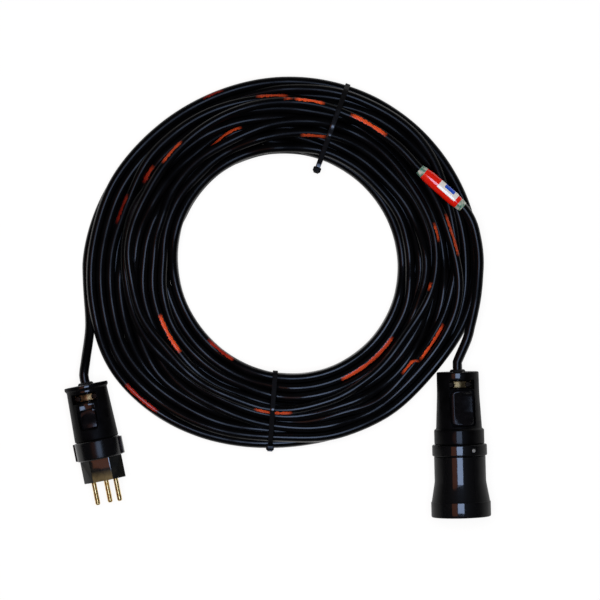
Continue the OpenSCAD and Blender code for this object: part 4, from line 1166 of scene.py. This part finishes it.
dot = bmesh.new()
bmesh.ops.create_uvsphere(dot, u_segments=32, v_segments=16, radius=1)
dot.transform(Matrix.Rotation(dot_way, 4, "Z")
              @ Matrix.Translation(((ring_r - 0.1) * mm, 0, 65 * mm))
              @ Matrix.Diagonal((0.7 * mm, dot_r * mm, dot_r * mm, 1)))

# Enamel, dabbed on by hand: grey, fairly glossy and a little uneven.
enamel = mottled("grey_enamel", {"IOR": 1.5}, (0.8 * mm, 3), "#6c6f72", "#9b9ea0", (0.2, 0.4))
new_piece("coupler_index_dot", dot, coupler_place, enamel, "coupler_ring", "gloss_inlay")

# ---- Coupler sleeve and face ----
# The front sleeve is turned out to a flare with a thick collar, moulded in glossy nylon. In
# it, two screws hold the face insert, with a six-sided socket and three holes, on to a buff
# block that carries the contacts, with a ring spring round each.
work = turned([(16, 65.5), (18.6, 65.5, 0.3), (18.6, 70), (21.4, 70, 0.6), (21.4, 91, 1.5),
               (21.75, 93), (24.3, 107.8, 0.3), (24.8, 107.8, 1.1), (24.8, 120.5, 1.3),
               (20.7, 120.5, 0.4), (20.7, 105.2), (17.1, 105.2), (17.1, 70), (16, 70)],
              steps=128)
new_piece("moulded_coupler_sleeve", work, coupler_place, gloss_nylon, "root",
          "ring_plastic", "coupler_sleeve")

# Nylon with glass fibre, moulded: a satin black, with the fibres' flow in fine streaks, drawn
# at 0.6 mm.
filled_nylon = mottled("filled_nylon", {"IOR": 1.53}, (0.6 * mm, 4, (1, 1, 0.2)), "#0a0a0b",
                       "#1b1b1d", (0.3, 0.5), relief=(0.15, 0.05 * mm))
finish_node(filled_nylon, "coupler_face_insert")

# Melamine, pressed: buff with darker specks of its filler, each about 0.3 mm.
melamine = mottled("pressed_melamine", {"IOR": 1.6}, (0.3 * mm, 4), "#8b7f66", "#b5ab92",
                   (0.35, 0.55), shaded=(0.3, 0.5))
finish_node(melamine, "coupler_contact_block")
finish_node(brass, "coupler_contact_line", "coupler_contact_neutral", "coupler_contact_earth")

# Spring steel, drawn and coiled: bright grey, with draw lines of 0.1 mm along the wire.
spring_wire = mottled("drawn_spring_wire", {"Metallic": 1}, (0.1 * mm, 2), "#a5a7aa",
                      "#c9cbce", (0.2, 0.35))
finish_node(spring_wire, "coupler_contact_springs")

# ---- Table and light ----
# A plain white table under a cool softbox overhead, with a dim warm lamp on the left and a
# broad fill that leaves no highlight of its own. The table glows a little, so that it stays
# white to the eye and in the gloss of the connectors.
table = bpy.data.meshes.new("table")
work = bmesh.new()
bmesh.ops.create_grid(work, x_segments=1, y_segments=1, size=4)
work.to_mesh(table)
work.free()
table = add_object("table", table)
card, tree, shader = new_material("white_card", {
    "Base Color": linear("#f4f4f4"), "Roughness": 0.9, "Specular IOR Level": 0})
path = add_node(tree, "LightPath")
seen = add_node(tree, "Math", {0: path.outputs["Is Camera Ray"],
                               1: path.outputs["Is Glossy Ray"]}, operation="MAXIMUM")
seen = add_node(tree, "Math", {0: seen.outputs[0], 1: path.outputs["Is Transmission Ray"]},
                operation="MAXIMUM")
share = add_node(tree, "Math", {0: seen.outputs[0], 1: 0.8}, operation="MULTIPLY")
white = add_node(tree, "Emission", {"Strength": 1.1})
lit = add_node(tree, "MixShader", {"Fac": share.outputs[0], 1: shader.outputs[0],
                                   2: white.outputs[0]})
tree.links.new(lit.outputs[0], tree.nodes["Material Output"].inputs["Surface"])
table.data.materials.append(card)

world = bpy.data.worlds.new("room")
world.use_nodes = True
world.node_tree.nodes["Background"].inputs["Color"].default_value = linear("#eef0f4")
world.node_tree.nodes["Background"].inputs["Strength"].default_value = 0.035
bpy.context.scene.world = world


def add_softbox(name, place, size, radiance, colour):
    """A rectangular lamp that faces the coil, of a given brightness to the eye."""
    lamp = bpy.data.lights.new(name, "AREA")
    lamp.shape = "RECTANGLE"
    lamp.size, lamp.size_y = size
    lamp.energy = radiance * math.pi * size[0] * size[1]
    lamp.color = linear(colour)[:3]
    lamp = add_object(name, lamp)
    lamp.location = place
    facing = Vector((-place[0], 0, -place[2])).to_track_quat("-Z", "Y")
    lamp.rotation_euler = facing.to_euler()


add_softbox("overhead", (0.05, -0.12, 2.0), (1.0, 0.85), 4.8, "#bcd4ff")
add_softbox("side_lamp", (-0.81, -0.15, 1.9), (1.2, 0.8), 0.5, "#ff9868")
add_softbox("fill", (0.0, 0.0, 2.4), (1.2, 1.2), 7.2, "#fff2da")
bpy.data.objects["fill"].visible_glossy = False
bpy.context.scene.view_settings.view_transform = "Standard"
